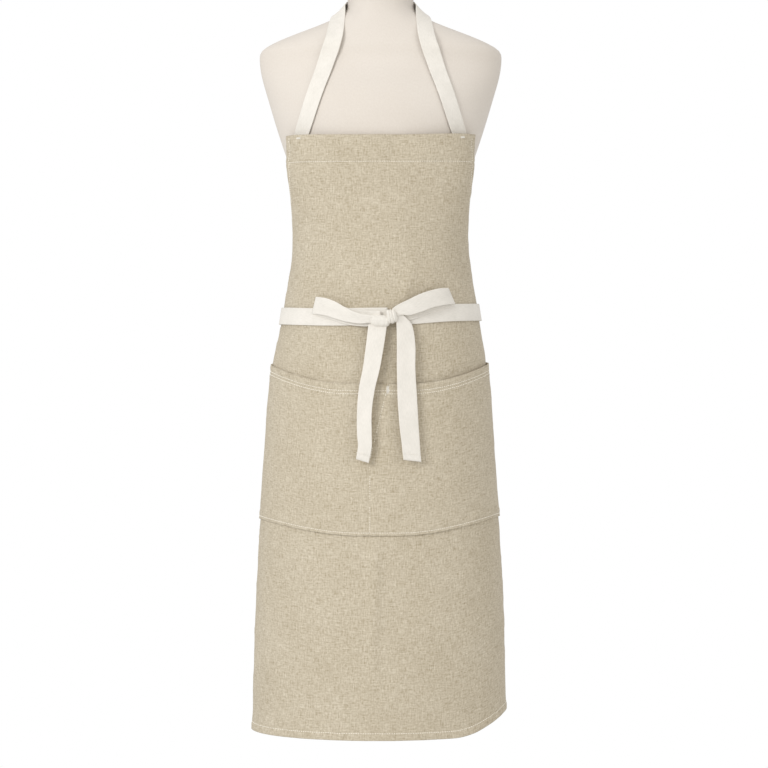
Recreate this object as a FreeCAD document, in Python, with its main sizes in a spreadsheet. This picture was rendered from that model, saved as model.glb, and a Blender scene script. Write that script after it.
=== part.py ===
import FreeCAD, Part
import math
import os
import Sketcher
from FreeCAD import Placement, Rotation, Vector

# A linen bib apron worn by a dress-form torso. Millimetres, +Z up, +X to the wearer's left, front towards -Y.
# The origin is the mouth of the pole socket, on the axis of the pole that would carry the form.

doc = FreeCAD.newDocument("apron_on_form")
sheet = doc.addObject("Spreadsheet::Sheet", "sizes")

# ---------------------------------------------------------------- driving dimensions
SIZES = {
    # pole socket, its screws and its clamp screw
    "bore_radius": 12.8, "tube_wall": 3.2, "socket_length": 70, "mouth_chamfer": 1,
    "flange_radius": 45, "flange_thickness": 4, "screw_circle_radius": 32, "screw_count": 4,
    "screw_shank_radius": 2, "screw_grip": 10, "screw_head_radius": 4.2, "screw_head_height": 2.4,
    "screw_clearance": 0.15, "clamp_height": 26, "clamp_radius": 3, "clamp_clearance": 0.06,
    "boss_radius": 8, "boss_reach": 9, "clamp_tip_gap": 0.8, "knob_travel": 6, "knob_radius": 11,
    "knob_length": 12, "knob_flute_radius": 1.6, "knob_flutes": 12, "knob_edge": 1,
    # base plate, cover and neck cap
    "plate_inset": 3, "cover_thickness": 1.2, "cap_height": 14, "cap_overhang": 1.5, "cap_edge": 4,
    "neck_radius": 48.5, "neck_rise": 82, "neck_top_height": 826, "neck_back_shift": 4,
    # cloth and tape
    "apron_length": 858, "bib_half": 152, "skirt_half": 340, "armhole_depth": 243, "hem_below_mouth": 270,
    "linen_thickness": 1, "layer_gap": 0.4, "tape_width": 25, "tape_thickness": 1.1, "thread_width": 1.1,
    "thread_height": 0.5, "bib_hem_depth": 38, "side_hem_width": 9, "skirt_hem_depth": 10,
    # pocket
    "pocket_top": 503, "pocket_bottom": 288, "pocket_half": 326, "pocket_gape": 13, "mouth_sag": 14,
    "divider_top": 13, "divider_bottom": -13,
    # straps, ties and bow, as heights above the hem and distances round the front from its centre line
    "strap_spacing": 113, "strap_lap": 22, "strap_standoff": 3.6, "strap_neck_standoff": 7.5,
    "tie_height": 601, "tie_dip": 37, "tie_lap": 24, "knot_side": 18, "knot_half_width": 13,
    "knot_half_height": 11, "knot_half_depth": 7, "knot_standoff": 12, "loop_left_length": 108,
    "loop_right_length": 84, "loop_right_lift": 22, "loop_depth": 9, "loop_root": 3, "tail_length": 186, "tail_gap": 1,
    "tail_standoff": 12, "tail_spread": 26, "left_tail_slant": 22, "right_tail_slant": 12,
}

# The form's sections from hip to shoulder: height above the mouth, half width, front depth and back depth.
FORM_SECTIONS = [
    ("base", 85, 151, 109, 113),
    ("hip_edge", 106, 153.5, 110.6, 115.8),
    ("low_hip", 128, 155.5, 112, 118),
    ("hip", 170, 157, 114, 120),
    ("high_hip", 215, 154, 113, 119),
    ("belly", 260, 149, 111, 115.5),
    ("seat", 335, 138, 106, 108),
    ("waist", 460, 121, 97, 90),
    ("ribs", 530, 128, 103, 95),
    ("chest", 591, 147, 109, 100),
    ("armhole", 660, 168, 96, 98),
    ("shoulder", 710, 178, 68, 82),
]

# The slope from the shoulder point to the neck is an S curve, cut into this many sections. It stays level for this
# share of the way at each end.
SLOPE_SECTIONS = 8
SLOPE_LEVEL = 0.06

# How the apron hangs: height of each line above the hem, then how far the cloth stands beyond the form's section
# at the side, front and back, and how far its widest place lies in front of the axis. Below the form, the gaps
# are counted from the form's lowest section.
DRAPE_LINES = [
    ("hem_line", 0, 34, 41, -5, 20),
    ("shin_line", 120, 31, 39, -1, 15),
    ("seam_line", 288, 23, 32, 5, 8),
    ("thigh_line", 400, 11, 19.5, 2.5, 0),
    ("hip_line", 500, 5, 9.5, 3.5, 0),
    ("tied_line", 601, 4, 4, 4, 0),
    ("lower_bib_line", 715, 6, 7, 4, 15),
    ("middle_bib_line", 765, 5, 5, 0, 38),
    ("upper_bib_line", 812, 4, 5, -20, 48),
    ("bib_edge_line", 858, -7, 5, -30, 45),
]

# How lines woven level in the cloth hang on the body: height of the line above the hem, how far it rises at the
# wearer's right side (-X) and left side, between which distances round the body it rises, and how far it sways.
LIFT_LINES = [
    ("hem_lift", 0, 0, 30, 90, 250, -2),
    ("seam_lift", 288, 18, 22, 30, 220, -2),
    ("mouth_lift", 500, 21, 23, 50, 210, -2),
    ("tied_lift", 601, 4, 4, 50, 210, 0),
    ("bib_lift", 715, 0, 0, 40, 190, 0),
    ("edge_lift", 858, 3, 5, 20, 160, 0),
]


def set_cell(row, alias, value):
    """Put a plain number into the sheet and name its cell."""
    sheet.set("A%d" % row, alias)
    sheet.set("B%d" % row, str(value))
    sheet.setAlias("B%d" % row, alias)


cells = dict(SIZES)
for name, height, side, front, back in FORM_SECTIONS:
    cells.update({name + "_height": height, name + "_side": side, name + "_front": front, name + "_back": back})
for name, height, side, front, back, forward in DRAPE_LINES:
    cells.update({name + "_height": height, name + "_side_gap": side, name + "_front_gap": front})
    cells.update({name + "_back_gap": back, name + "_forward": forward})
for name, height, right_rise, left_rise, start, end, sway in LIFT_LINES:
    cells.update({name + "_height": height, name + "_right_rise": right_rise, name + "_left_rise": left_rise})
    cells.update({name + "_start": start, name + "_end": end, name + "_sway": sway})
for row, (alias, value) in enumerate(cells.items(), start=1):
    set_cell(row, alias, value)
doc.recompute()


def size(alias):
    """The value of a named cell."""
    return float(sheet.get(alias))


def cell(alias):
    """The same cell, as an expression."""
    return "sizes." + alias


# ---------------------------------------------------------------- helpers for bodies and sketches
def new_body(label):
    body = doc.addObject("PartDesign::Body", label)
    body.Label = label
    return body


def new_sketch(body, name, role):
    """A sketch on one of the body's own origin planes."""
    sketch = body.newObject("Sketcher::SketchObject", name)
    plane = [item for item in body.Origin.OriginFeatures if item.Role == role][0]
    sketch.AttachmentSupport = [(plane, "")]
    sketch.MapMode = "FlatFace"
    return sketch


def bind(sketch, kind, places, value, expression):
    """Add a dimension to a sketch and tie it to the sheet."""
    index = sketch.addConstraint(Sketcher.Constraint(kind, *places, value))
    sketch.setExpression("Constraints[%d]" % index, expression)


def add_circle(sketch, radius, up=None, across=None):
    """A circle whose radius and centre come from (value, expression) pairs; a missing pair means on the axis."""
    centre = Vector(across[0] if across else 0, up[0] if up else 0, 0)
    index = sketch.addGeometry(Part.Circle(centre, Vector(0, 0, 1), radius[0]))
    bind(sketch, "Radius", (index,), radius[0], radius[1])
    if across:
        bind(sketch, "DistanceX", (-1, 1, index, 3), across[0], across[1])
    else:
        sketch.addConstraint(Sketcher.Constraint("PointOnObject", index, 3, -2))
    if up:
        bind(sketch, "DistanceY", (-1, 1, index, 3), up[0], up[1])
    else:
        sketch.addConstraint(Sketcher.Constraint("PointOnObject", index, 3, -1))


def add_outline(sketch, corners):
    """A closed outline of straight lines; each corner is (across, up) as (value, expression) pairs or None."""
    places = [Vector(a[0] if a else 0, u[0] if u else 0, 0) for a, u in corners]
    count = len(places)
    for index in range(count):
        sketch.addGeometry(Part.LineSegment(places[index], places[(index + 1) % count]))
    for index in range(count):
        sketch.addConstraint(Sketcher.Constraint("Coincident", index, 2, (index + 1) % count, 1))
    for index, (across, up) in enumerate(corners):
        if across:
            bind(sketch, "DistanceX", (-1, 1, index, 1), across[0], across[1])
        else:
            sketch.addConstraint(Sketcher.Constraint("PointOnObject", index, 1, -2))
        if up:
            bind(sketch, "DistanceY", (-1, 1, index, 1), up[0], up[1])
        else:
            sketch.addConstraint(Sketcher.Constraint("PointOnObject", index, 1, -1))


def pair(*terms):
    """A sum of sheet cells as (value, expression); a term that starts with a minus sign is taken away."""
    value = 0.0
    words = ""
    for term in terms:
        sign = -1 if term.startswith("-") else 1
        alias = term.lstrip("-")
        value += sign * size(alias)
        words += (" - " if sign < 0 else " + ") + cell(alias)
    return value, words.lstrip(" +")


def must_remove(body, before, feature):
    """A pocket or groove has to take material away."""
    doc.recompute()
    after = body.Shape.Volume
    if after >= before - 0.01:
        raise RuntimeError(feature.Name + " cut nothing")
    return after


# ---------------------------------------------------------------- pole socket: flange, tube, boss and bore
socket = new_body("pole_socket")
sketch = new_sketch(socket, "socket_section", "XZ_Plane")
tube_outer = pair("bore_radius", "tube_wall")
flange_under = pair("socket_length", "-flange_thickness")
add_outline(sketch, [
    (None, None),
    (tube_outer, None),
    (tube_outer, flange_under),
    (pair("flange_radius"), flange_under),
    (pair("flange_radius"), pair("socket_length")),
    (None, pair("socket_length")),
])
turned = socket.newObject("PartDesign::Revolution", "socket_turned")
turned.Profile = sketch
turned.ReferenceAxis = (sketch, ["V_Axis"])
turned.Angle = 360
doc.recompute()

sketch = new_sketch(socket, "boss_circle", "XZ_Plane")
add_circle(sketch, pair("boss_radius"), up=pair("clamp_height"))
boss = socket.newObject("PartDesign::Pad", "clamp_boss")
boss.Profile = sketch
boss.Reversed = True
boss.setExpression("Length", pair("bore_radius", "tube_wall", "boss_reach")[1])
doc.recompute()
volume = socket.Shape.Volume

sketch = new_sketch(socket, "bore_circle", "XY_Plane")
add_circle(sketch, pair("bore_radius"))
bore = socket.newObject("PartDesign::Pocket", "pole_bore")
bore.Profile = sketch
bore.Type = "ThroughAll"
bore.Reversed = True
volume = must_remove(socket, volume, bore)

sketch = new_sketch(socket, "tapped_circle", "XZ_Plane")
add_circle(sketch, pair("clamp_radius", "clamp_clearance"), up=pair("clamp_height"))
tapped = socket.newObject("PartDesign::Pocket", "clamp_hole")
tapped.Profile = sketch
tapped.Type = "ThroughAll"
volume = must_remove(socket, volume, tapped)

sketch = new_sketch(socket, "screw_circle", "XY_Plane")
add_circle(sketch, pair("screw_shank_radius", "screw_clearance"), across=pair("screw_circle_radius"))
screw_hole = socket.newObject("PartDesign::Pocket", "screw_hole")
screw_hole.Profile = sketch
screw_hole.Type = "ThroughAll"
screw_hole.Reversed = True
volume = must_remove(socket, volume, screw_hole)
screw_holes = socket.newObject("PartDesign::PolarPattern", "screw_holes")
screw_holes.Originals = [screw_hole]
screw_holes.Axis = (sketch, ["N_Axis"])
screw_holes.Angle = 360
screw_holes.setExpression("Occurrences", cell("screw_count"))
socket.Tip = screw_holes
volume = must_remove(socket, volume, screw_holes)


def ring_edges(shape, radius, height):
    """Names of the round edges of one radius at one height."""
    names = []
    for index, edge in enumerate(shape.Edges, start=1):
        round_edge = isinstance(edge.Curve, Part.Circle) and abs(edge.Curve.Radius - radius) < 0.01
        if round_edge and abs(edge.BoundBox.ZMin - height) < 0.01 and abs(edge.BoundBox.ZMax - height) < 0.01:
            names.append("Edge%d" % index)
    return names


chamfer = socket.newObject("PartDesign::Chamfer", "mouth_chamfer")
chamfer.Base = (screw_holes, ring_edges(screw_holes.Shape, tube_outer[0], 0))
chamfer.setExpression("Size", cell("mouth_chamfer"))
volume = must_remove(socket, volume, chamfer)

# ---------------------------------------------------------------- clamp screw: a fluted knob on a plain shank
clamp = new_body("clamp_screw")
shank_length = pair("tube_wall", "boss_reach", "knob_travel", "-clamp_tip_gap")
knob_top = pair("tube_wall", "boss_reach", "knob_travel", "-clamp_tip_gap", "knob_length")
sketch = new_sketch(clamp, "clamp_section", "XZ_Plane")
add_outline(sketch, [
    (None, None),
    (pair("clamp_radius"), None),
    (pair("clamp_radius"), shank_length),
    (pair("knob_radius"), shank_length),
    (pair("knob_radius"), knob_top),
    (None, knob_top),
])
turned = clamp.newObject("PartDesign::Revolution", "clamp_turned")
turned.Profile = sketch
turned.ReferenceAxis = (sketch, ["V_Axis"])
turned.Angle = 360
doc.recompute()
knob_rings = ring_edges(turned.Shape, size("knob_radius"), shank_length[0])
knob_rings += ring_edges(turned.Shape, size("knob_radius"), knob_top[0])
edge_fillet = clamp.newObject("PartDesign::Fillet", "knob_edges")
edge_fillet.Base = (turned, knob_rings)
edge_fillet.setExpression("Radius", cell("knob_edge"))
doc.recompute()
volume = clamp.Shape.Volume
sketch = new_sketch(clamp, "flute_circle", "XY_Plane")
add_circle(sketch, pair("knob_flute_radius"), across=pair("knob_radius"))
flute = clamp.newObject("PartDesign::Pocket", "knob_flute")
flute.Profile = sketch
flute.Type = "ThroughAll"
flute.Reversed = True
volume = must_remove(clamp, volume, flute)
flutes = clamp.newObject("PartDesign::PolarPattern", "knob_flutes")
flutes.Originals = [flute]
flutes.Axis = (sketch, ["N_Axis"])
flutes.Angle = 360
flutes.setExpression("Occurrences", cell("knob_flutes"))
clamp.Tip = flutes
volume = must_remove(clamp, volume, flutes)
# The screw points from behind at the pole, its tip just short of the bore.
clamp.Placement = Placement(Vector(0, size("bore_radius") + size("clamp_tip_gap"), size("clamp_height")),
                            Rotation(Vector(1, 0, 0), -90))
clamp.setExpression("Placement.Base.y", pair("bore_radius", "clamp_tip_gap")[1])
clamp.setExpression("Placement.Base.z", cell("clamp_height"))


# ---------------------------------------------------------------- the form's outer shape
def plain_ellipse(name, height, side, depth, shift):
    """A level ellipse; every argument is an expression."""
    ring = doc.addObject("Part::Ellipse", name)
    ring.setExpression("MajorRadius", side)
    ring.setExpression("MinorRadius", depth)
    ring.setExpression("Placement.Base.z", height)
    ring.setExpression("Placement.Base.y", shift)
    return ring


def s_curve(value, start, end):
    """0 up to the start, 1 from the end on, and a smooth S between."""
    share = min(max((value - start) / (end - start), 0), 1)
    return share * share * (3 - 2 * share)


def slope_shares():
    """Each slope section's share of the way up to the neck and of the way in to it."""
    ups = [(index + 1) / SLOPE_SECTIONS for index in range(SLOPE_SECTIONS)]
    return [(up, s_curve(up, SLOPE_LEVEL, 1 - SLOPE_LEVEL)) for up in ups]


def form_rings(suffix, grow):
    """The form's sections as ellipses, each grown outward by the expression given."""
    rings = []
    for section, *_ in FORM_SECTIONS:
        side = "%s + %s" % (cell(section + "_side"), grow)
        depth = "(%s + %s) / 2 + %s" % (cell(section + "_front"), cell(section + "_back"), grow)
        shift = "(%s - %s) / 2" % (cell(section + "_back"), cell(section + "_front"))
        rings.append(plain_ellipse(section + suffix, cell(section + "_height"), side, depth, shift))
    shoulder_depth = "(%s + %s) / 2" % (cell("shoulder_front"), cell("shoulder_back"))
    shoulder_shift = "(%s - %s) / 2" % (cell("shoulder_back"), cell("shoulder_front"))
    for index, (share_up, share_in) in enumerate(slope_shares()):
        height = "%s + %s * %g" % (cell("shoulder_height"), cell("neck_rise"), share_up)
        side = blend_words(cell("shoulder_side"), cell("neck_radius"), share_in) + " + " + grow
        depth = blend_words(shoulder_depth, cell("neck_radius"), share_in) + " + " + grow
        shift = blend_words(shoulder_shift, cell("neck_back_shift"), share_up)
        rings.append(plain_ellipse("slope%d%s" % (index, suffix), height, side, depth, shift))
    radius = cell("neck_radius") + " + " + grow
    rings.append(plain_ellipse("neck" + suffix, cell("neck_top_height"), radius, radius, cell("neck_back_shift")))
    return rings


def blend_words(start, end, share):
    """An expression for a value part of the way from one expression to another."""
    return "%s + (%s - %s) * %g" % (start, end, start, share)


def loft_form(label, rings):
    body = doc.addObject("Part::Loft", label)
    body.Sections = rings
    body.Solid = True
    body.Ruled = False
    body.MaxDegree = 3
    body.Label = label
    return body


form_core = loft_form("form_core", form_rings("_core", "(0 - sizes.cover_thickness)"))
outer_form = loft_form("outer_form", form_rings("_skin", "0"))
doc.recompute()
form_cover = doc.addObject("Part::Cut", "form_cover")
form_cover.Base = outer_form
form_cover.Tool = form_core
form_cover.Label = "form_cover"

# ---------------------------------------------------------------- base plate, its screws and the neck cap
plate_ring = plain_ellipse("plate_ring", cell("socket_length"),
                           "sizes.base_side - sizes.plate_inset",
                           "(sizes.base_front + sizes.base_back) / 2 - sizes.plate_inset",
                           "(sizes.base_back - sizes.base_front) / 2")
plate_blank = doc.addObject("Part::Extrusion", "plate_blank")
plate_blank.Base = plate_ring
plate_blank.DirMode = "Custom"
plate_blank.Dir = Vector(0, 0, 1)
plate_blank.Solid = True
plate_blank.setExpression("LengthFwd", "sizes.base_height - sizes.socket_length")


def post(name, radius, length, foot, angle):
    """An upright cylinder on the screw circle, at one angle."""
    cylinder = doc.addObject("Part::Cylinder", name)
    cylinder.setExpression("Radius", radius)
    cylinder.setExpression("Height", length)
    cylinder.setExpression("Placement.Base.x", "sizes.screw_circle_radius * cos(%g deg)" % angle)
    cylinder.setExpression("Placement.Base.y", "sizes.screw_circle_radius * sin(%g deg)" % angle)
    cylinder.setExpression("Placement.Base.z", foot)
    return cylinder


screws = []
pilot_holes = []
screw_count = int(size("screw_count"))
for index in range(screw_count):
    angle = 360 * index / screw_count
    under_flange = "sizes.socket_length - sizes.flange_thickness"
    shank = post("shank%d" % index, cell("screw_shank_radius"), "sizes.flange_thickness + sizes.screw_grip",
                 under_flange, angle)
    head = post("head%d" % index, cell("screw_head_radius"), cell("screw_head_height"),
                under_flange + " - sizes.screw_head_height", angle)
    screw = doc.addObject("Part::Fuse", "screw%d" % index)
    screw.Base = shank
    screw.Tool = head
    screws.append(screw)
    pilot_holes.append(post("pilot%d" % index, "sizes.screw_shank_radius + sizes.screw_clearance",
                            "sizes.screw_grip + sizes.screw_clearance", cell("socket_length"), angle))
socket_screws = doc.addObject("Part::Compound", "socket_screws")
socket_screws.Links = screws
socket_screws.Label = "socket_screws"
all_pilots = doc.addObject("Part::MultiFuse", "all_pilots")
all_pilots.Shapes = pilot_holes
base_plate = doc.addObject("Part::Cut", "base_plate")
base_plate.Base = plate_blank
base_plate.Tool = all_pilots
base_plate.Label = "base_plate"

neck_cap = new_body("neck_cap")
sketch = new_sketch(neck_cap, "cap_section", "XZ_Plane")
cap_radius = pair("neck_radius", "cap_overhang")
add_outline(sketch, [
    (None, None),
    (cap_radius, None),
    (cap_radius, pair("cap_height")),
    (None, pair("cap_height")),
])
cap_turned = neck_cap.newObject("PartDesign::Revolution", "cap_turned")
cap_turned.Profile = sketch
cap_turned.ReferenceAxis = (sketch, ["V_Axis"])
cap_turned.Angle = 360
doc.recompute()
cap_fillet = neck_cap.newObject("PartDesign::Fillet", "cap_edge")
cap_fillet.Base = (cap_turned, ring_edges(cap_turned.Shape, cap_radius[0], size("cap_height")))
cap_fillet.setExpression("Radius", cell("cap_edge"))
neck_cap.setExpression("Placement.Base.y", cell("neck_back_shift"))
neck_cap.setExpression("Placement.Base.z", cell("neck_top_height"))
doc.recompute()


# ---------------------------------------------------------------- the surface that the cloth lies on
def smooth_curve(stations):
    """A curve through (place, value) stations that never swings past them, as a function."""
    xs = [x for x, _ in stations]
    ys = [y for _, y in stations]
    steps = [xs[i + 1] - xs[i] for i in range(len(xs) - 1)]
    slopes = [(ys[i + 1] - ys[i]) / steps[i] for i in range(len(steps))]
    tangents = [slopes[0]]
    for before, after in zip(slopes, slopes[1:]):
        tangents.append(2 * before * after / (before + after) if before * after > 0 else 0)
    tangents.append(slopes[-1])

    def value(x):
        x = min(max(x, xs[0]), xs[-1])
        i = max(j for j in range(len(steps)) if xs[j] <= x)
        share = (x - xs[i]) / steps[i]
        rise = ys[i] + share * share * (3 - 2 * share) * (ys[i + 1] - ys[i])
        lead = share * (1 - share) ** 2 * steps[i] * tangents[i]
        trail = share * share * (1 - share) * steps[i] * tangents[i + 1]
        return rise + lead - trail

    return value


def form_stations():
    """The form's sections as (height, side, front, back), read from the sheet."""
    rows = [[size(name + end) for end in ("_height", "_side", "_front", "_back")] for name, *_ in FORM_SECTIONS]
    _, side, front, back = rows[-1]
    for share_up, share_in in slope_shares():
        half_depth = (front + back) / 2 + (size("neck_radius") - (front + back) / 2) * share_in
        shift = (back - front) / 2 + (size("neck_back_shift") - (back - front) / 2) * share_up
        rows.append([size("shoulder_height") + size("neck_rise") * share_up,
                     side + (size("neck_radius") - side) * share_in, half_depth - shift, half_depth + shift])
    shift = size("neck_back_shift")
    rows.append([size("neck_top_height"), size("neck_radius"), size("neck_radius") - shift,
                 size("neck_radius") + shift])
    return rows


FORM_ROWS = form_stations()
form_side = smooth_curve([(row[0], row[1]) for row in FORM_ROWS])
form_front = smooth_curve([(row[0], row[2]) for row in FORM_ROWS])
form_back = smooth_curve([(row[0], row[3]) for row in FORM_ROWS])
HEM_Z = -size("hem_below_mouth")


def drape_row(name):
    """One drape line as (height, half width, front, back, forward shift), beyond the form's own section."""
    height = size(name + "_height")
    level = HEM_Z + height
    return (height, form_side(level) + size(name + "_side_gap"), form_front(level) + size(name + "_front_gap"),
            form_back(level) + size(name + "_back_gap"), size(name + "_forward"))


DRAPE_ROWS = [drape_row(line[0]) for line in DRAPE_LINES]
drape_side = smooth_curve([(row[0], row[1]) for row in DRAPE_ROWS])
drape_front = smooth_curve([(row[0], row[2]) for row in DRAPE_ROWS])
drape_back = smooth_curve([(row[0], row[3]) for row in DRAPE_ROWS])
drape_forward = smooth_curve([(row[0], row[4]) for row in DRAPE_ROWS])
LIFT_CURVES = {end: smooth_curve([(size(line[0] + "_height"), size(line[0] + end)) for line in LIFT_LINES])
               for end in ("_right_rise", "_left_rise", "_start", "_end", "_sway")}
ARC_STEPS = 90
arc_tables = {}


def section_table(height):
    """Angles and distances round the section at a height, from its front centre to its back centre."""
    key = round(height, 3)
    if key not in arc_tables:
        side, forward = drape_side(height), drape_forward(height)
        front, back = drape_front(height) - forward, drape_back(height) + forward
        reach = [0.0]
        last = (0.0, -front)
        for step in range(1, ARC_STEPS + 1):
            angle = math.pi * step / ARC_STEPS
            depth = front if angle <= math.pi / 2 else back
            here = (side * math.sin(angle), -depth * math.cos(angle))
            reach.append(reach[-1] + math.hypot(here[0] - last[0], here[1] - last[1]))
            last = here
        arc_tables[key] = (side, front, back, forward, reach)
    return arc_tables[key]


def cloth_lift(across, height):
    """How far the ties and the body's round pull a place on the cloth up."""
    rise = LIFT_CURVES["_left_rise" if across > 0 else "_right_rise"](height)
    return rise * s_curve(abs(across), LIFT_CURVES["_start"](height), LIFT_CURVES["_end"](height))


def place(across, height, out):
    """The point a distance across (round the body), up and out from the surface that the cloth lies on."""
    side, front, back, forward, reach = section_table(height)
    target = min(abs(across), reach[-1])
    step = max(i for i in range(ARC_STEPS) if reach[i] <= target)
    share = (target - reach[step]) / (reach[step + 1] - reach[step])
    angle = math.pi * (step + share) / ARC_STEPS
    if across < 0:
        angle = -angle
    depth = front if abs(angle) <= math.pi / 2 else back
    normal = Vector(math.sin(angle) / side, -math.cos(angle) / depth, 0)
    normal.normalize()
    base = Vector(side * math.sin(angle) + LIFT_CURVES["_sway"](height), -forward - depth * math.cos(angle),
                  HEM_Z + height + cloth_lift(across, height))
    return base + normal * out


def half_perimeter(height):
    return section_table(height)[4][-1]


def place_round(across, height, out):
    """As place, for distances that pass the middle of the back and come round the other side."""
    around = 2 * half_perimeter(height)
    if across > around / 2:
        across -= around
    if across < -around / 2:
        across += around
    return place(across, height, out)


def outward(across, height):
    """The direction straight out of the cloth at a place on it, square to its slope as well."""
    nudge = 2.0
    aside = place_round(across + nudge, height, 0) - place_round(across - nudge, height, 0)
    upward = place_round(across, height + nudge, 0) - place_round(across, height - nudge, 0)
    out = aside.cross(upward)
    out.normalize()
    return out


# ---------------------------------------------------------------- closed sheets of cloth
def spline_skin(points):
    surface = Part.BSplineSurface()
    surface.interpolate(points)
    return surface


def ruled(first, second):
    return Part.makeRuledSurface(first.toShape(), second.toShape())


def closed_sheet(inner_points, outer_points):
    """A solid sheet between two grids of points: its two faces, closed round their four edges."""
    inner = spline_skin(inner_points)
    outer = spline_skin(outer_points)
    low, high, left, right = inner.bounds()
    faces = [inner.toShape(), outer.toShape()]
    faces += [ruled(inner.uIso(end), outer.uIso(end)) for end in (low, high)]
    faces += [ruled(inner.vIso(end), outer.vIso(end)) for end in (left, right)]
    shell = Part.makeShell(faces)
    shell.sewShape()
    solid = Part.makeSolid(shell)
    if solid.Volume < 0:
        solid.reverse()
    return solid


def shares(count):
    return [index / (count - 1) for index in range(count)]


def add_cloth(label, shape):
    """A soft sub-part, whose shape comes from the sheet through the functions above."""
    item = doc.addObject("Part::Feature", label)
    item.Shape = shape
    item.Label = label
    item.Placement = Placement()
    return item


def tape(frames, width, thickness):
    """A strip along frames of (point, direction across, direction out); the points lie on its inner face."""
    inner = []
    outer = []
    for point, across, out in frames:
        row = [point + across * (width * (share - 0.5)) for share in shares(3)]
        inner.append(row)
        outer.append([corner + out * thickness for corner in row])
    return closed_sheet(inner, outer)


def frames_on_cloth(path):
    """Frames for a strip that lies on the cloth, along a path of (across, height, out) places."""
    points = [place_round(*spot) for spot in path]
    frames = []
    for index, spot in enumerate(path):
        before = points[max(index - 1, 0)]
        after = points[min(index + 1, len(points) - 1)]
        out = outward(spot[0], spot[1])
        across = out.cross(after - before)
        across.normalize()
        frames.append((points[index], across, out))
    return frames


def path_between(spots, count):
    """Places evenly spaced along a smooth path through a few (across, height, out) spots."""
    lengths = [0.0]
    for first, second in zip(spots, spots[1:]):
        lengths.append(lengths[-1] + math.hypot(second[0] - first[0], second[1] - first[1]) + 0.001)
    curves = [smooth_curve([(reach, spot[axis]) for reach, spot in zip(lengths, spots)]) for axis in range(3)]
    return [tuple(curve(lengths[-1] * share) for curve in curves) for share in shares(count)]


# ---------------------------------------------------------------- apron panel
LINEN = size("linen_thickness")
GAP = size("layer_gap")
THREAD_OUT = LINEN + GAP
CORNER_HEIGHT = size("apron_length") - size("armhole_depth")
ARMHOLE_POWER = 2.8
CORNER_ROUND = 18


def cloth_half(height):
    """Half the width that the apron is cut to, at a height above the hem; the waist corner is a little rounded."""
    above = height - CORNER_HEIGHT
    if above < -CORNER_ROUND:
        return size("skirt_half")
    if above < CORNER_ROUND:
        above = (above + CORNER_ROUND) ** 2 / (4 * CORNER_ROUND)
    share = 1 - above / size("armhole_depth")
    return size("bib_half") + (size("skirt_half") - size("bib_half")) * share ** ARMHOLE_POWER


def steps_between(low, high, count):
    return [low + (high - low) * index / count for index in range(count)]


def panel_heights():
    """Heights of the panel's rows, close together where its outline turns the waist corner."""
    low, high = CORNER_HEIGHT - CORNER_ROUND, CORNER_HEIGHT + CORNER_ROUND
    heights = steps_between(0, low, 16) + steps_between(low, high, 8)
    return heights + steps_between(high, size("apron_length"), 14) + [size("apron_length")]


def panel_grid(out):
    return [[place(cloth_half(height) * (2 * column - 1), height, out) for column in shares(PANEL_COLUMNS)]
            for height in panel_heights()]


PANEL_COLUMNS = 41
apron_panel = add_cloth("apron_panel", closed_sheet(panel_grid(0), panel_grid(LINEN)))


# ---------------------------------------------------------------- pocket panel, gaping at its two mouths
MOUTH_WAVE = 300


def divider_across(height):
    """Where the stitched line between the two pockets lies, at a height."""
    share = (height - size("pocket_bottom")) / (size("pocket_top") - size("pocket_bottom"))
    slant = max(0.0, 2 * share - 1)
    return size("divider_bottom") + (size("divider_top") - size("divider_bottom")) * slant


def mouth_height(across):
    """The pocket's top edge, cut a little higher at its two ends than in the middle."""
    return size("pocket_top") + size("mouth_sag") * (1 - math.cos(math.pi * abs(across) / (2 * MOUTH_WAVE)))


def pocket_out(across, height):
    """How far the pocket's inner face stands off the apron: sewn flat at its seams, open at its mouths."""
    share = (height - size("pocket_bottom")) / (mouth_height(across) - size("pocket_bottom"))
    divider = divider_across(height)
    if across > divider:
        along = (across - divider) / (size("pocket_half") - divider)
    else:
        along = (divider - across) / (size("pocket_half") + divider)
    along = min(max(along, 0.0), 1.0)
    swell = math.sin(math.pi * along ** MOUTH_FORWARD) ** 2
    return LINEN + GAP + size("pocket_gape") * swell * max(share, 0.0) ** 1.3


MOUTH_FORWARD = 0.65
POCKET_ROWS, POCKET_COLUMNS = 13, 61


def pocket_grid(extra):
    grid = []
    for share in shares(POCKET_ROWS):
        row = []
        for column in shares(POCKET_COLUMNS):
            across = size("pocket_half") * (2 * column - 1)
            height = size("pocket_bottom") + (mouth_height(across) - size("pocket_bottom")) * share
            row.append(place(across, height, pocket_out(across, height) + extra))
        grid.append(row)
    return grid


pocket_panel = add_cloth("pocket_panel", closed_sheet(pocket_grid(0), pocket_grid(LINEN)))


# ---------------------------------------------------------------- sewing threads, as thin raised rows
def thread_row(spots, count):
    """One row of stitches along (across, height, out) spots on the cloth."""
    return tape(frames_on_cloth(path_between(spots, count)), size("thread_width"), size("thread_height"))


def level_spots(height, half, out, count=9):
    return [(half * (2 * share - 1), height, out) for share in shares(count)]


def add_threads(label, rows):
    return add_cloth(label, Part.makeCompound(rows))


SIDE_STITCH = size("side_hem_width")
EDGE_CLEAR = SIDE_STITCH + size("thread_width")
bib_stitch_height = size("apron_length") - size("bib_hem_depth")
bib_hem_stitching = add_threads("bib_hem_stitching", [
    thread_row(level_spots(bib_stitch_height, cloth_half(bib_stitch_height) - EDGE_CLEAR, THREAD_OUT), 31)])
skirt_hem_stitching = add_threads("skirt_hem_stitching", [
    thread_row(level_spots(size("skirt_hem_depth"), size("skirt_half") - EDGE_CLEAR, THREAD_OUT), 61)])


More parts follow.
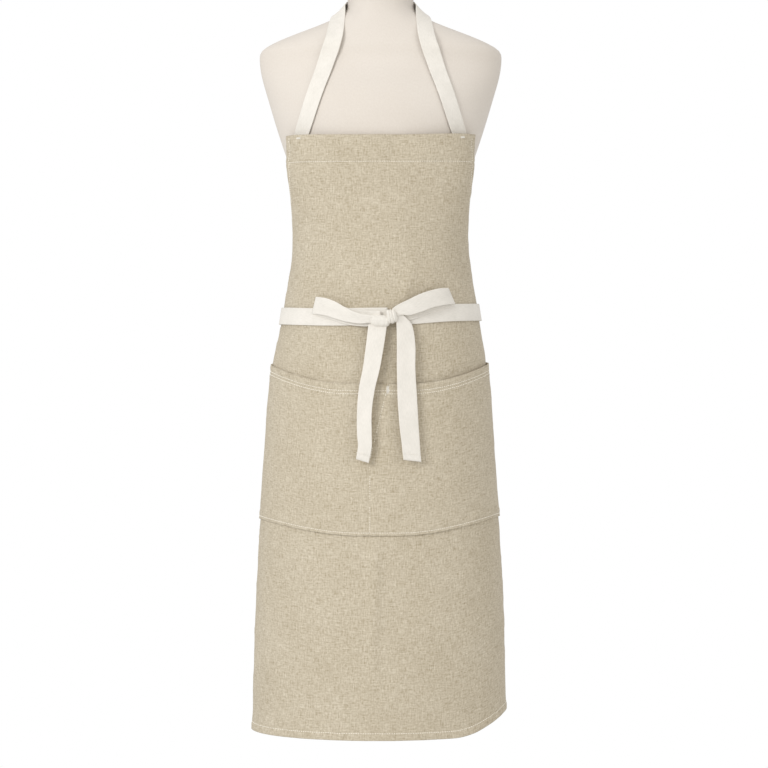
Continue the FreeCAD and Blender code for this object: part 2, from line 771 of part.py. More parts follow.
def side_row(sign):
    """The side hem's stitches, from the skirt hem up round the armhole to the bib's top hem."""
    heights = panel_heights()[1:-1]
    return [(sign * (cloth_half(height) - SIDE_STITCH), height, SIDE_THREAD_OUT) for height in heights]


# The side hems also hold the pocket's edges, so their thread passes over both layers.
SIDE_THREAD_OUT = THREAD_OUT
side_hem_stitching = add_threads("side_hem_stitching", [
    tape(frames_on_cloth(side_row(sign)), size("thread_width"), size("thread_height")) for sign in (-1, 1)])

MOUTH_ROWS = (10, 15)
MOUTH_REACH = 0.97


def pocket_spots(drop, sign):
    """A row below one pocket's mouth, from the divider to the side."""
    spots = []
    start, end = divider_across(size("pocket_top")), sign * size("pocket_half") * MOUTH_REACH
    start += sign * size("thread_width") * 2
    for share in shares(31):
        across = start + (end - start) * share
        height = mouth_height(across) - drop
        spots.append((across, height, pocket_out(across, height) + THREAD_OUT))
    return spots


pocket_mouth_stitching = add_threads("pocket_mouth_stitching", [
    tape(frames_on_cloth(pocket_spots(drop, sign)), size("thread_width"), size("thread_height"))
    for drop in MOUTH_ROWS for sign in (-1, 1)])

SEAM_RISE = 4
DIVIDER_CLEAR = 6


def divider_spots():
    low = size("pocket_bottom") + SEAM_RISE + DIVIDER_CLEAR
    high = size("pocket_top") - max(MOUTH_ROWS) - DIVIDER_CLEAR
    heights = [low + (high - low) * share for share in shares(13)]
    return [(divider_across(height), height, pocket_out(divider_across(height), height) + THREAD_OUT)
            for height in heights]


def seam_spots():
    height = size("pocket_bottom") + SEAM_RISE
    spots = []
    for share in shares(61):
        across = size("pocket_half") * MOUTH_REACH * (2 * share - 1)
        spots.append((across, height, pocket_out(across, height) + THREAD_OUT))
    return spots


pocket_seam_stitching = add_threads("pocket_seam_stitching", [
    tape(frames_on_cloth(spots), size("thread_width"), size("thread_height"))
    for spots in (seam_spots(), divider_spots())])


# ---------------------------------------------------------------- neck strap: over the chest and behind the neck
TAPE = size("tape_thickness")
WIDTH = size("tape_width")


def form_normal(spot):
    """The direction straight out of the form's surface near a point."""
    def level_value(x, y, z):
        depth = (form_front(z) + form_back(z)) / 2
        shift = (form_back(z) - form_front(z)) / 2
        return (x / form_side(z)) ** 2 + ((y - shift) / depth) ** 2

    nudge = 1.0
    slope = [level_value(*(spot + axis * nudge)) - level_value(*(spot - axis * nudge))
             for axis in (Vector(1, 0, 0), Vector(0, 1, 0), Vector(0, 0, 1))]
    out = Vector(*slope)
    out.normalize()
    return out


def on_form(angle, level, out):
    """A point on the form at an angle from straight ahead (90 is its side), a little way out."""
    turn = math.radians(angle)
    depth = (form_front(level) + form_back(level)) / 2
    shift = (form_back(level) - form_front(level)) / 2
    spot = Vector(form_side(level) * math.sin(turn), shift - depth * math.cos(turn), level)
    return spot + form_normal(spot) * out


def strap_points(sign):
    """Half the strap, from the bib's back face up over the chest and the root of the neck to behind the neck."""
    bib_top = HEM_Z + size("apron_length")
    start = size("strap_spacing")
    root = size("shoulder_height") + size("neck_rise")
    spots = []
    for level, across, standoff in (
            (bib_top - size("strap_lap"), start + 1, size("strap_standoff")),
            (bib_top, start, size("strap_standoff")),
            (bib_top + 30, start - 9, size("strap_standoff")),
            (bib_top + 55, start - 17, size("strap_standoff")),
            (bib_top + 75, start - 24, size("strap_standoff")),
            (bib_top + 95, start - 31, size("strap_standoff")),
            (bib_top + 115, start - 37, size("strap_standoff")),
            (bib_top + 145, start - 47, size("strap_neck_standoff"))):
        angle = math.degrees(math.asin(min(across / form_side(level), 1)))
        spots.append(on_form(angle, level, standoff))
    for angle, drop in ((70, 18), (90, 10), (115, 3), (145, -2), (180, -4)):
        spots.append(on_form(angle, root - drop, size("strap_neck_standoff")))
    return [Vector(sign * spot.x, spot.y, spot.z) for spot in spots]


def spline_frames(points, count):
    """Frames along a smooth curve through a few points on the form."""
    curve = Part.BSplineCurve()
    curve.interpolate(points)
    first, last = curve.FirstParameter, curve.LastParameter
    frames = []
    for share in shares(count):
        place_on_curve = first + (last - first) * share
        spot = curve.value(place_on_curve)
        out = form_normal(spot)
        across = out.cross(curve.tangent(place_on_curve)[0])
        across.normalize()
        frames.append((spot, across, out))
    return frames


strap_route = strap_points(-1) + strap_points(1)[-2::-1]
neck_strap = add_cloth("neck_strap", tape(spline_frames(strap_route, 61), WIDTH, TAPE))


# ---------------------------------------------------------------- waist ties, round the back and over the sides
TIE_OUT = THREAD_OUT + size("thread_height") + GAP
TIE_UPPER = TIE_OUT + TAPE + 2 * GAP
HOLD = 22
STEP_UP = 7
TIE_REST = 225
TIE_NEAR = 110
KNOT_ENTRY = 0.6
KNOT_DROP = 2


def tie_spots(sign, cross_out):
    """One tie, from its corner at the back, round the far side, to the knot. Sign -1 arrives from the left."""
    tie_height = size("tie_height")
    far = 2 * half_perimeter(tie_height)
    corner = size("skirt_half")
    low = tie_height - size("tie_dip")
    knot = size("knot_side") + sign * size("knot_half_width") * KNOT_ENTRY
    return [
        (sign * (far - corner + size("tie_lap")), tie_height, TIE_OUT),
        (sign * (far - corner), tie_height, TIE_OUT),
        (sign * (far - corner - STEP_UP), tie_height, cross_out),
        (sign * (far - corner - HOLD), tie_height, cross_out),
        (sign * far / 2, tie_height - size("tie_dip") / 2, cross_out),
        (sign * (corner + HOLD), low, cross_out),
        (sign * (corner + STEP_UP), low, cross_out),
        (sign * corner, low, TIE_OUT),
        (sign * (corner - size("tie_lap") - STEP_UP * 2), low, TIE_OUT),
        (sign * TIE_REST, tie_height, TIE_OUT),
        (sign * TIE_NEAR, tie_height, TIE_OUT),
        (knot, tie_height - KNOT_DROP, TIE_OUT),
    ]


waist_ties = {}
for side_name, sign, cross_out in (("left", -1, TIE_OUT), ("right", 1, TIE_UPPER)):
    route = path_between(tie_spots(sign, cross_out), 101)
    waist_ties[side_name] = add_cloth("waist_tie_" + side_name, tape(frames_on_cloth(route), WIDTH, TAPE))


# ---------------------------------------------------------------- the bow
KNOT_ACROSS = size("knot_side")
KNOT_HEIGHT = size("tie_height") - 2 * KNOT_DROP
knot = doc.addObject("Part::Ellipsoid", "bow_knot")
knot.Label = "bow_knot"
knot.setExpression("Radius1", cell("knot_half_height"))
knot.setExpression("Radius2", cell("knot_half_width"))
knot.setExpression("Radius3", cell("knot_half_depth"))
knot_centre = place(KNOT_ACROSS, KNOT_HEIGHT, size("knot_standoff"))
knot.Placement = Placement(knot_centre, Rotation())


def loop_frames(sign, length, lift, rows):
    """A flattened loop of tape: out along its front layer, round its tip and back along its rear layer."""
    depth = size("loop_depth")
    tip_radius = depth / 2
    straight = length - tip_radius
    root = size("loop_root")
    path = []
    for share in shares(rows):
        path.append((root + (straight - root) * share, tip_radius))
    for step in range(1, 8):
        turn = math.pi * step / 8
        path.append((straight + tip_radius * math.sin(turn), tip_radius * math.cos(turn)))
    for share in shares(rows):
        path.append((straight + (root - straight) * share, -tip_radius))
    frames = []
    slope = math.atan2(lift, length)
    for index, (reach, depth_offset) in enumerate(path):
        before = path[max(index - 1, 0)]
        after = path[min(index + 1, len(path) - 1)]
        across = KNOT_ACROSS + sign * reach * math.cos(slope)
        height = KNOT_HEIGHT + reach * math.sin(slope)
        middle_out = size("knot_standoff")
        spot = place(across, height, middle_out + depth_offset)
        along_cloth = place(across + sign, height, middle_out) - place(across, height, middle_out)
        along_cloth.normalize()
        out = outward(across, height)
        travel = along_cloth * (after[0] - before[0]) + out * (after[1] - before[1])
        travel.normalize()
        up = Vector(-along_cloth.x * math.sin(slope), -along_cloth.y * math.sin(slope), math.cos(slope))
        face = up.cross(travel) * -sign
        face.normalize()
        frames.append((spot, up, face))
    return frames


bow_loop_left = add_cloth("bow_loop_left", tape(
    loop_frames(-1, size("loop_left_length"), 2, 12), WIDTH, TAPE))
bow_loop_right = add_cloth("bow_loop_right", tape(
    loop_frames(1, size("loop_right_length"), size("loop_right_lift"), 12), WIDTH, TAPE))

TAIL_TOP = KNOT_HEIGHT - size("knot_half_height") - size("tail_gap")


def tail_frames(start_across, shift, rows=13):
    """A tail, straight down from the knot with a gentle drift sideways; it hangs flat, facing forwards."""
    frames = []
    for share in shares(rows):
        height = TAIL_TOP - size("tail_length") * share
        across = start_across + shift * math.sin(math.pi / 2 * share)
        standoff = size("tail_standoff") - 3 * (1 - share) ** 3
        spot = place(across, height, standoff)
        frames.append((spot, Vector(1, 0, 0), Vector(0, -1, 0)))
    return frames


left_tail_across = KNOT_ACROSS - size("tail_spread") / 2
right_tail_across = KNOT_ACROSS + size("tail_spread") / 2 + KNOT_DROP
bow_tail_left = add_cloth("bow_tail_left", tape(
    tail_frames(left_tail_across, -size("left_tail_slant")), WIDTH, TAPE))
bow_tail_right = add_cloth("bow_tail_right", tape(
    tail_frames(right_tail_across, size("right_tail_slant")), WIDTH, TAPE))


# ---------------------------------------------------------------- bar tacks
def tack(spots):
    """A short, dense bar of thread over a joint."""
    return tape(frames_on_cloth(path_between(spots, 4)), size("thread_width") * 2, size("thread_height"))


def strap_tack(sign):
    across = sign * size("strap_spacing") * 1.08
    height = size("apron_length") - 5
    return tack([(across - 3, height, THREAD_OUT), (across + 3, height, THREAD_OUT)])


def tie_tack(sign):
    across = sign * (size("skirt_half") - size("tie_lap") / 2)
    out = TIE_OUT + TAPE + GAP
    low = size("tie_height") - WIDTH * 0.4
    high = size("tie_height") + WIDTH * 0.3
    return tack([(across, low, out), (across, high, out)])


strap_tacks = add_threads("strap_tacks", [strap_tack(sign) for sign in (-1, 1)])
tie_tacks = add_threads("tie_tacks", [tie_tack(sign) for sign in (-1, 1)])
tack_out = pocket_out(divider_across(size("pocket_top")), size("pocket_top")) + THREAD_OUT
tack_height = size("pocket_top") - sum(MOUTH_ROWS) / 2
pocket_tack = add_threads("pocket_tack", [tack([
    (divider_across(size("pocket_top")), tack_height - 5, tack_out),
    (divider_across(size("pocket_top")), tack_height + 6, tack_out)])])

# ---------------------------------------------------------------- checks, then one STEP file for each sub-part
doc.recompute()
for item in doc.Objects:
    if "Invalid" in item.State or "Error" in item.State:
        raise RuntimeError(item.Name + " failed: " + ", ".join(item.State))

NODES = [
    form_core, form_cover, neck_cap, base_plate, socket, socket_screws, clamp,
    apron_panel, pocket_panel, neck_strap, waist_ties["left"], waist_ties["right"],
    knot, bow_loop_left, bow_loop_right, bow_tail_left, bow_tail_right,
    bib_hem_stitching, side_hem_stitching, skirt_hem_stitching, pocket_mouth_stitching,
    pocket_seam_stitching, strap_tacks, tie_tacks, pocket_tack,
]
os.makedirs("parts", exist_ok=True)
for node in NODES:
    shape = node.Shape
    if shape.isNull() or not shape.isValid() or shape.Volume <= 0:
        raise RuntimeError(node.Label + " has a bad shape")
    shape.exportStep(os.path.join("parts", node.Label + ".step"))
    print("%-24s %10.1f mm3" % (node.Label, shape.Volume))
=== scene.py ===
# %% [markdown]
# # A linen apron on a dress form
# The apron is a bib apron of washed linen: one cut panel, one wide pocket sewn down its middle into two, a
# neck strap and two waist ties of cotton tape that meet in a bow at the front. It is worn by a jersey-
# covered torso form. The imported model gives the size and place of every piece, so it is loaded before
# anything else is made.

# %% The frame
import bmesh
import bpy
import math
import numpy as np
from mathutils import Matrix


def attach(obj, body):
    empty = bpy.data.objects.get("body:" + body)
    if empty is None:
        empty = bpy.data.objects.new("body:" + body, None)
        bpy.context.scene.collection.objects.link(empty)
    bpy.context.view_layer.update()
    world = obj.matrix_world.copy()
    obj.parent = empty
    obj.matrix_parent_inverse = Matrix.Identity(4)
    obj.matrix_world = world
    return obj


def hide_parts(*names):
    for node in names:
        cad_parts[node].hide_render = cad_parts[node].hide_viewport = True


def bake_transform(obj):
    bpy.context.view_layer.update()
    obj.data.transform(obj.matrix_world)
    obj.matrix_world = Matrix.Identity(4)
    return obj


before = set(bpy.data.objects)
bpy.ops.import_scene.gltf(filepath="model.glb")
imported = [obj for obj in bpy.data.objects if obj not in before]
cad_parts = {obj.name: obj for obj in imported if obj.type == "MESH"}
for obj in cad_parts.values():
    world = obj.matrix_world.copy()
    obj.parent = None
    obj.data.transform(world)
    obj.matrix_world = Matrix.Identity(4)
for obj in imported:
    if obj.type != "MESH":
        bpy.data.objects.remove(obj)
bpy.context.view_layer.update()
ROOT = "form_and_apron"
MM = 0.001

# %% [markdown]
# ## Camera, light and floor
# The view is level and straight at the front, from far enough away that the sides hardly turn in. One large
# soft light stands to the left, in front and a little above, and a weaker one fills the right side, which
# gives the slow shading from left to right that shows the round of the body. A white surround keeps the
# shadows open.

# %% Camera, light and floor
scene = bpy.context.scene
scene.view_settings.view_transform = "Standard"


def aim(item, place, target):
    """Put an object at a place, looking at a target."""
    item.location = place
    sight = np.subtract(target, place)
    flat = math.hypot(sight[0], sight[1])
    item.rotation_euler = (math.pi / 2 + math.atan2(sight[2], flat), 0, math.atan2(-sight[0], sight[1]))


VIEW_X, VIEW_Z, VIEW_DISTANCE = 0.005, 0.2326, 3.6
camera = bpy.data.objects.new("camera", bpy.data.cameras.new("camera"))
camera.data.sensor_width = 36
camera.data.lens = 114.8
aim(camera, (VIEW_X, -VIEW_DISTANCE, VIEW_Z), (VIEW_X, 0, VIEW_Z))
scene.collection.objects.link(camera)
scene.camera = camera


def soft_light(name, place, target, width, power, colour=(1, 1, 1)):
    """A square area light of a given width and power, turned towards its target."""
    lamp = bpy.data.objects.new(name, bpy.data.lights.new(name, "AREA"))
    lamp.data.shape = "SQUARE"
    lamp.data.size = width
    lamp.data.energy = power
    lamp.data.color = colour
    aim(lamp, place, target)
    scene.collection.objects.link(lamp)


soft_light("key_light", (-2.1, -2.6, 1.3), (0, 0, 0.3), 1.3, 53)
soft_light("fill_light", (2.4, -2.2, 0.7), (0, 0, 0.2), 1.6, 14, (1.0, 0.95, 0.87))
soft_light("top_light", (0.0, -0.6, 3.0), (0, 0, 0.5), 1.6, 9)

world = bpy.data.worlds.new("white_surround")
scene.world = world
world.use_nodes = True
seen = world.node_tree.nodes["Background"]
lit = world.node_tree.nodes.new("ShaderNodeBackground")
mixed = world.node_tree.nodes.new("ShaderNodeMixShader")
ray = world.node_tree.nodes.new("ShaderNodeLightPath")
seen.inputs["Color"].default_value = (1, 1, 1, 1)
seen.inputs["Strength"].default_value = 1.0
lit.inputs["Color"].default_value = (1, 1, 1, 1)
lit.inputs["Strength"].default_value = 0.69
for source, target in ((ray.outputs["Is Camera Ray"], mixed.inputs[0]), (lit.outputs[0], mixed.inputs[1]),
                       (seen.outputs[0], mixed.inputs[2]),
                       (mixed.outputs[0], world.node_tree.nodes["World Output"].inputs["Surface"])):
    world.node_tree.links.new(source, target)
print("camera", VIEW_DISTANCE, "m away, three soft lights and a white surround")

# %% [markdown]
# ## Helpers for meshes
# Cloth is thin but not flat: it has an outer face, an inner face and four edges. Each sheet is two grids of
# points, one per face, joined round the edges into one closed mesh. Its own UV map holds real distances
# along and across the yarns, in metres, so that weave and twill keep their true size wherever the cloth
# turns.

# %% Helpers for meshes
def add_piece(name, points, faces, uv=None, body=ROOT, smooth=True):
    """A mesh piece from an (n, 3) array of points and a list of faces, riding on a body."""
    mesh = bpy.data.meshes.new(name)
    mesh.from_pydata(np.asarray(points, float).tolist(), [], [list(map(int, face)) for face in faces])
    mesh.polygons.foreach_set("use_smooth", np.full(len(mesh.polygons), smooth))
    if uv is not None:
        layer = mesh.uv_layers.new(name="cloth")
        corners = np.empty(len(mesh.loops), int)
        mesh.loops.foreach_get("vertex_index", corners)
        layer.data.foreach_set("uv", np.asarray(uv, float)[corners].ravel())
    mesh.update()
    piece = bpy.data.objects.new(name, mesh)
    scene.collection.objects.link(piece)
    if body:
        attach(piece, body)
    return piece


def dress(piece, node, finish):
    """Give a piece its finish and, if it stands for a CAD node, hide that node."""
    piece.data.materials.append(finish)
    if node:
        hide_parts(node)


def grid_faces(rows, columns, start=0, flip=False, around=False):
    """Quads of a rows x columns grid of points; around joins the last column to the first."""
    row, column = np.meshgrid(np.arange(rows - 1), np.arange(columns if around else columns - 1), indexing="ij")
    beside = (column + 1) % columns
    here, above = row * columns, (row + 1) * columns
    corners = [here + column, here + beside, above + beside, above + column]
    faces = np.stack(corners, -1).reshape(-1, 4) + start
    return faces[:, ::-1] if flip else faces


def sheet_mesh(name, outer, inner, uv, body=ROOT):
    """A closed sheet: row by row, the outer face's points and then the inner face's, back the other way, make a
    ring; the rings are joined in turn, and the first and last are closed across."""
    rows, columns = outer.shape[:2]
    points = np.concatenate([outer, inner[:, ::-1]], axis=1)
    rings = 2 * columns
    column = np.arange(columns - 1)
    facing = rings - 1 - column
    first = np.stack([column + 1, column, facing, facing - 1], -1)
    last = first[:, ::-1] + (rows - 1) * rings
    faces = [grid_faces(rows, rings, around=True), first, last]
    both = np.concatenate([uv, uv[:, ::-1]], axis=1)
    return add_piece(name, points.reshape(-1, 3), np.concatenate(faces), both.reshape(-1, 2), body)


def smooth_curve(stations):
    """A curve through (place, value) stations that never swings past them: each stretch is a cubic whose end
    slopes are the harmonic mean of the slopes on both sides, or level where those slopes disagree."""
    xs, ys = np.array(stations, float).T
    steps = np.diff(xs)
    slopes = np.diff(ys) / steps
    product = slopes[:-1] * slopes[1:]
    total = np.where(product > 0, slopes[:-1] + slopes[1:], 1.0)
    tangents = np.concatenate([slopes[:1], np.where(product > 0, 2 * product / total, 0.0), slopes[-1:]])

    def value(x):
        x = np.clip(x, xs[0], xs[-1])
        i = np.clip(np.searchsorted(xs, x, side="right") - 1, 0, len(steps) - 1)
        share = (x - xs[i]) / steps[i]
        rise = ys[i] + share ** 2 * (3 - 2 * share) * (ys[i + 1] - ys[i])
        lead = share * (1 - share) ** 2 * steps[i] * tangents[i]
        trail = share ** 2 * (1 - share) * steps[i] * tangents[i + 1]
        return rise + lead - trail

    return value


def unit(vectors):
    """Vectors, each divided by its length."""
    return vectors / np.maximum(np.linalg.norm(vectors, axis=-1, keepdims=True), 1e-12)


def path_reach(points):
    """The distance along a path to each of its points."""
    return np.concatenate([[0], np.cumsum(np.linalg.norm(np.diff(points, axis=0), axis=1))])


def along_path(places, reach, values):
    """Rows of values, given at distances along a path, read at other places along it."""
    return np.stack([np.interp(places, reach, column) for column in np.transpose(values)], -1)


LATTICE_SIZE, SEED = 64, 11
LATTICE = np.random.default_rng(SEED).uniform(-1, 1, (LATTICE_SIZE, LATTICE_SIZE))


def soft_noise(u, v):
    """Smooth random height from -1 to 1: random values at whole numbers, joined by S curves both ways."""
    i, j = np.floor(u).astype(int), np.floor(v).astype(int)
    s, t = u - i, v - j
    s, t = s * s * (3 - 2 * s), t * t * (3 - 2 * t)
    here, beside = i % LATTICE_SIZE, (i + 1) % LATTICE_SIZE
    rows = j % LATTICE_SIZE, (j + 1) % LATTICE_SIZE
    low, high = (LATTICE[here, row] * (1 - s) + LATTICE[beside, row] * s for row in rows)
    return low * (1 - t) + high * t


def bump(x, centre, width):
    """A smooth hill of height 1 about a centre."""
    return np.exp(-((x - centre) / width) ** 2)


def ramp(x, start, end):
    """0 before start, 1 after end and an S curve between."""
    share = np.clip((x - start) / (end - start), 0, 1)
    return share * share * (3 - 2 * share)

# %% [markdown]
# ## The form's shape
# A display torso is cast foam, turned smoothly from the hips to the neck. Level sections are ellipses.
# Their half width and depths are given at twelve heights and joined by smooth curves, and the shoulders run
# up to the neck in an S curve.

# %% The form's shape
FORM_ROWS = [(85, 151, 109, 113), (106, 153.5, 110.6, 115.8), (128, 155.5, 112, 118), (170, 157, 114, 120),
             (215, 154, 113, 119), (260, 149, 111, 115.5), (335, 138, 106, 108), (460, 121, 97, 90),
             (530, 128, 103, 95), (591, 147, 109, 100), (660, 168, 96, 98), (710, 178, 68, 82)]
NECK_RADIUS, NECK_SHIFT, NECK_RISE, NECK_TOP, SLOPES, SLOPE_LEVEL = 48.5, 4, 82, 826, 8, 0.06
level, side, front, back = FORM_ROWS[-1]
for up in (np.arange(SLOPES) + 1) / SLOPES:
    inward = float(ramp(up, SLOPE_LEVEL, 1 - SLOPE_LEVEL))
    depth = (front + back) / 2 + (NECK_RADIUS - (front + back) / 2) * inward
    shift = (back - front) / 2 + (NECK_SHIFT - (back - front) / 2) * up
    wide = side + (NECK_RADIUS - side) * inward
    FORM_ROWS.append((level + NECK_RISE * up, wide, depth - shift, depth + shift))
FORM_ROWS.append((NECK_TOP, NECK_RADIUS, NECK_RADIUS - NECK_SHIFT, NECK_RADIUS + NECK_SHIFT))
form_table = np.array(FORM_ROWS) * MM
form_side, form_front, form_back = (smooth_curve(form_table[:, [0, i]]) for i in (1, 2, 3))


def round_curve(places, values):
    """The natural cubic spline: a curve through every value whose bend changes evenly, as a moulded skin's
    does. The bends at the stations come from one set of linear equations, with no bend at the two ends."""
    steps, count = np.diff(places), len(places)
    system, inner = np.eye(count), np.arange(1, count - 1)
    system[inner, inner - 1] = steps[:-1]
    system[inner, inner] = 2 * (steps[:-1] + steps[1:])
    system[inner, inner + 1] = steps[1:]
    bends = np.linalg.solve(system, np.concatenate([[0], 6 * np.diff(np.diff(values) / steps), [0]]))

    def value(x):
        i = np.clip(np.searchsorted(places, x, side="right") - 1, 0, count - 2)
        after = (x - places[i]) / steps[i]
        before = 1 - after
        cubic = (before ** 3 - before) * bends[i] + (after ** 3 - after) * bends[i + 1]
        return before * values[i] + after * values[i + 1] + cubic * steps[i] ** 2 / 6

    return value


# The skin's curves run along the form's outline, measured as the mean step between rows.
row_steps = np.mean([np.hypot(np.diff(form_table[:, 0]), np.diff(form_table[:, i])) for i in (1, 2, 3)], axis=0)
row_places = np.concatenate([[0], np.cumsum(row_steps)])
outline = [round_curve(row_places, form_table[:, i])(np.linspace(0, row_places[-1], 2000)) for i in range(4)]


def skin_size(height, i):
    """The skin's half width (1), front depth (2) or back depth (3) at a height."""
    return np.interp(height, outline[0], outline[i])


def form_point(turn, height, grow=0.0):
    """A point on the form at an angle from straight ahead: an ellipse, its middle between front and back."""
    wide, ahead, behind = (skin_size(height, i) for i in (1, 2, 3))
    depth = (ahead + behind) / 2 + grow
    shift = (behind - ahead) / 2
    return np.stack(np.broadcast_arrays((wide + grow) * np.sin(turn), shift - depth * np.cos(turn), height), -1)


def form_out(turn, height):
    """The direction straight out of the form."""
    nudge = 0.001
    aside = form_point(turn + nudge, height) - form_point(turn - nudge, height)
    upward = form_point(turn, height + nudge) - form_point(turn, height - nudge)
    return unit(np.cross(aside, upward))


print("shoulders", round(2 * float(skin_size(level * MM, 1)), 3), "m across")

# %% [markdown]
# ## How the apron hangs
# The apron lies on a second smooth surface that starts as the form's own shape and stands off it more and
# more towards the hem. Every place on the cloth is given by three numbers: the distance across from the
# centre line, as measured along the cloth, the height above the hem, and the distance out. That is how a
# pattern cutter thinks, and it keeps the width of the cut cloth true however it wraps.

# %% How the apron hangs
HEM_Z, LENGTH, TIE_HEIGHT = -0.270, 0.858, 0.601
DRAPE_LINES = [(0, 34, 41, -5, 20), (120, 31, 39, -1, 15), (288, 23, 32, 5, 8), (400, 11, 19.5, 2.5, 0),
               (500, 5, 9.5, 3.5, 0), (601, 4, 4, 4, 0), (715, 6, 7, 4, 15), (765, 5, 5, 0, 38),
               (812, 4, 5, -20, 48), (858, -7, 5, -30, 45)]
drape = np.array(DRAPE_LINES) * MM
for column, curve in enumerate((form_side, form_front, form_back), 1):
    drape[:, column] += curve(HEM_Z + drape[:, 0])
drape_side, drape_front, drape_back, drape_forward = (smooth_curve(drape[:, [0, i]]) for i in (1, 2, 3, 4))
# Lines woven level rise towards the sides: height of the line, rise at -X and at +X, the distances round the
# body between which it rises, and how far the line sways sideways.
LIFT_LINES = [(0, 0, 30, 108, 244, -2), (288, 18, 22, 30, 220, -2), (500, 21, 23, 50, 210, -2),
              (601, 4, 4, 50, 210, 0), (715, 0, 0, 40, 190, 0), (858, 3, 5, 20, 160, 0)]
lift_table = np.array(LIFT_LINES) * MM
right_rise, left_rise, lift_start, lift_end, sway = (smooth_curve(lift_table[:, [0, i]]) for i in range(1, 6))
HEIGHTS = np.linspace(0, LENGTH, 430)
HALF_TURN, PAST_HALF = 200, 21
TURNS = math.pi * np.arange(HALF_TURN + PAST_HALF) / HALF_TURN
REACHES = np.linspace(0, 0.46, 231)


def section(turn, height):
    """A level section of the hanging surface: half an ellipse for the front, and one for the back."""
    forward = drape_forward(height)
    depth = np.where(np.abs(turn) <= math.pi / 2, drape_front(height) - forward, drape_back(height) + forward)
    return drape_side(height) * np.sin(turn), -forward - depth * np.cos(turn), depth


x_round, y_round, _ = section(TURNS[None, :], HEIGHTS[:, None])
arc = np.concatenate([np.zeros((len(HEIGHTS), 1)),
                      np.cumsum(np.hypot(np.diff(x_round), np.diff(y_round)), axis=1)], axis=1)
turn_table = np.stack([np.interp(REACHES, row, TURNS) for row in arc])


def half_round(height):
    """The distance from the middle of the front to the middle of the back."""
    return np.interp(height, HEIGHTS, arc[:, HALF_TURN])


def cloth_lift(across, height):
    """How far a place rises above the level of its woven line."""
    rise = np.where(across > 0, left_rise(height), right_rise(height))
    return rise * ramp(np.abs(across), lift_start(height), lift_end(height))


def turn_at(across, height):
    """The angle round the section for a distance across, read from the table's four nearest entries."""
    row = np.clip(height / HEIGHTS[1], 0, len(HEIGHTS) - 1.001)
    column = np.clip(np.abs(across) / REACHES[1], 0, len(REACHES) - 1.001)
    i, j = row.astype(int), column.astype(int)
    s, t = row - i, column - j
    near = turn_table[i, j] * (1 - t) + turn_table[i, j + 1] * t
    far = turn_table[i + 1, j] * (1 - t) + turn_table[i + 1, j + 1] * t
    return (near * (1 - s) + far * s) * np.sign(across)


def cloth_point(across, height, out=0.0):
    """The point a distance across, up and out: round the section, then out along the section's normal."""
    across, height, out = np.broadcast_arrays(*np.atleast_1d(across, height, out))
    half = half_round(height)
    across = np.where(across > half, across - 2 * half, np.where(across < -half, across + 2 * half, across))
    turn = turn_at(across, height)
    x, y, depth = section(turn, height)
    normal = unit(np.stack([np.sin(turn) / drape_side(height), -np.cos(turn) / depth, np.zeros_like(turn)], -1))
    z = HEM_Z + height + cloth_lift(across, height)
    return np.stack([x + sway(height), y, z], -1) + normal * out[..., None]


def cloth_front(x, z):
    """The y of the hanging surface at a place on its front, near enough the middle to be level."""
    height = z - HEM_Z
    turn = np.arcsin(np.clip((x - sway(height)) / drape_side(height), -0.98, 0.98))
    return section(turn, height)[1]


def cloth_out(across, height):
    """The direction straight out of the hanging surface, square to its slope as well."""
    nudge = 0.002
    aside = cloth_point(across + nudge, height) - cloth_point(across - nudge, height)
    upward = cloth_point(across, height + nudge) - cloth_point(across, height - nudge)
    return unit(np.cross(aside, upward))


print("half way round the waist", round(float(half_round(TIE_HEIGHT)), 4), "m")

# %% [markdown]
# ## Materials
# Each finish is a small node tree on the cloth's own UV map, in metres, so one pattern unit is one real yarn.
# Numbers that are the same everywhere are set straight on the shader's sockets.

# %% Helpers for materials
def new_material(name, roughness, sheen=0.0, metallic=0.0, specular=0.3):
    """A material and its shader, with the finish's plain numbers set on the shader itself."""
    made = bpy.data.materials.new(name)
    made.use_nodes = True
    shader = made.node_tree.nodes["Principled BSDF"]
    shader.inputs["Roughness"].default_value = roughness
    shader.inputs["Sheen Weight"].default_value = sheen
    shader.inputs["Sheen Roughness"].default_value = 0.5
    shader.inputs["Metallic"].default_value = metallic
    shader.inputs["Specular IOR Level"].default_value = specular
    return made, shader


def put(tree, kind, inputs=(), **settings):
    """A node with its settings; each input is a plain value or another node's output."""
    node = tree.nodes.new("ShaderNode" + kind)
    for key, value in settings.items():
        setattr(node, key, value)
    for key, value in dict(inputs).items():
        if isinstance(value, bpy.types.NodeSocket):
            tree.links.new(value, node.inputs[key])
        else:
            node.inputs[key].default_value = value
    return node


def maths(tree, operation, first, second=0.0):
    """One sum on two values."""
    return put(tree, "Math", {0: first, 1: second}, operation=operation).outputs[0]


def weighed(tree, first, first_share, second, second_share):
    """The sum of two values, each times its share."""
    parts = [maths(tree, "MULTIPLY", *part) for part in ((first, first_share), (second, second_share))]
    return maths(tree, "ADD", *parts)


def ribs(tree, place, spacing):
    """Round ridges a spacing apart: the sine of the place times a full turn a spacing."""
    return maths(tree, "SINE", maths(tree, "MULTIPLY", place, 2 * math.pi / spacing))


def noise(tree, place, stretch, detail=2.0, roughness=0.5):
    """Random texture, stretched: how many waves a metre in each direction."""
    scaled = put(tree, "Mapping", {"Vector": place, "Scale": stretch})
    made = put(tree, "TexNoise", {"Vector": scaled.outputs[0], "Scale": 1.0, "Detail": detail,
                                  "Roughness": roughness})
    return made.outputs[0]


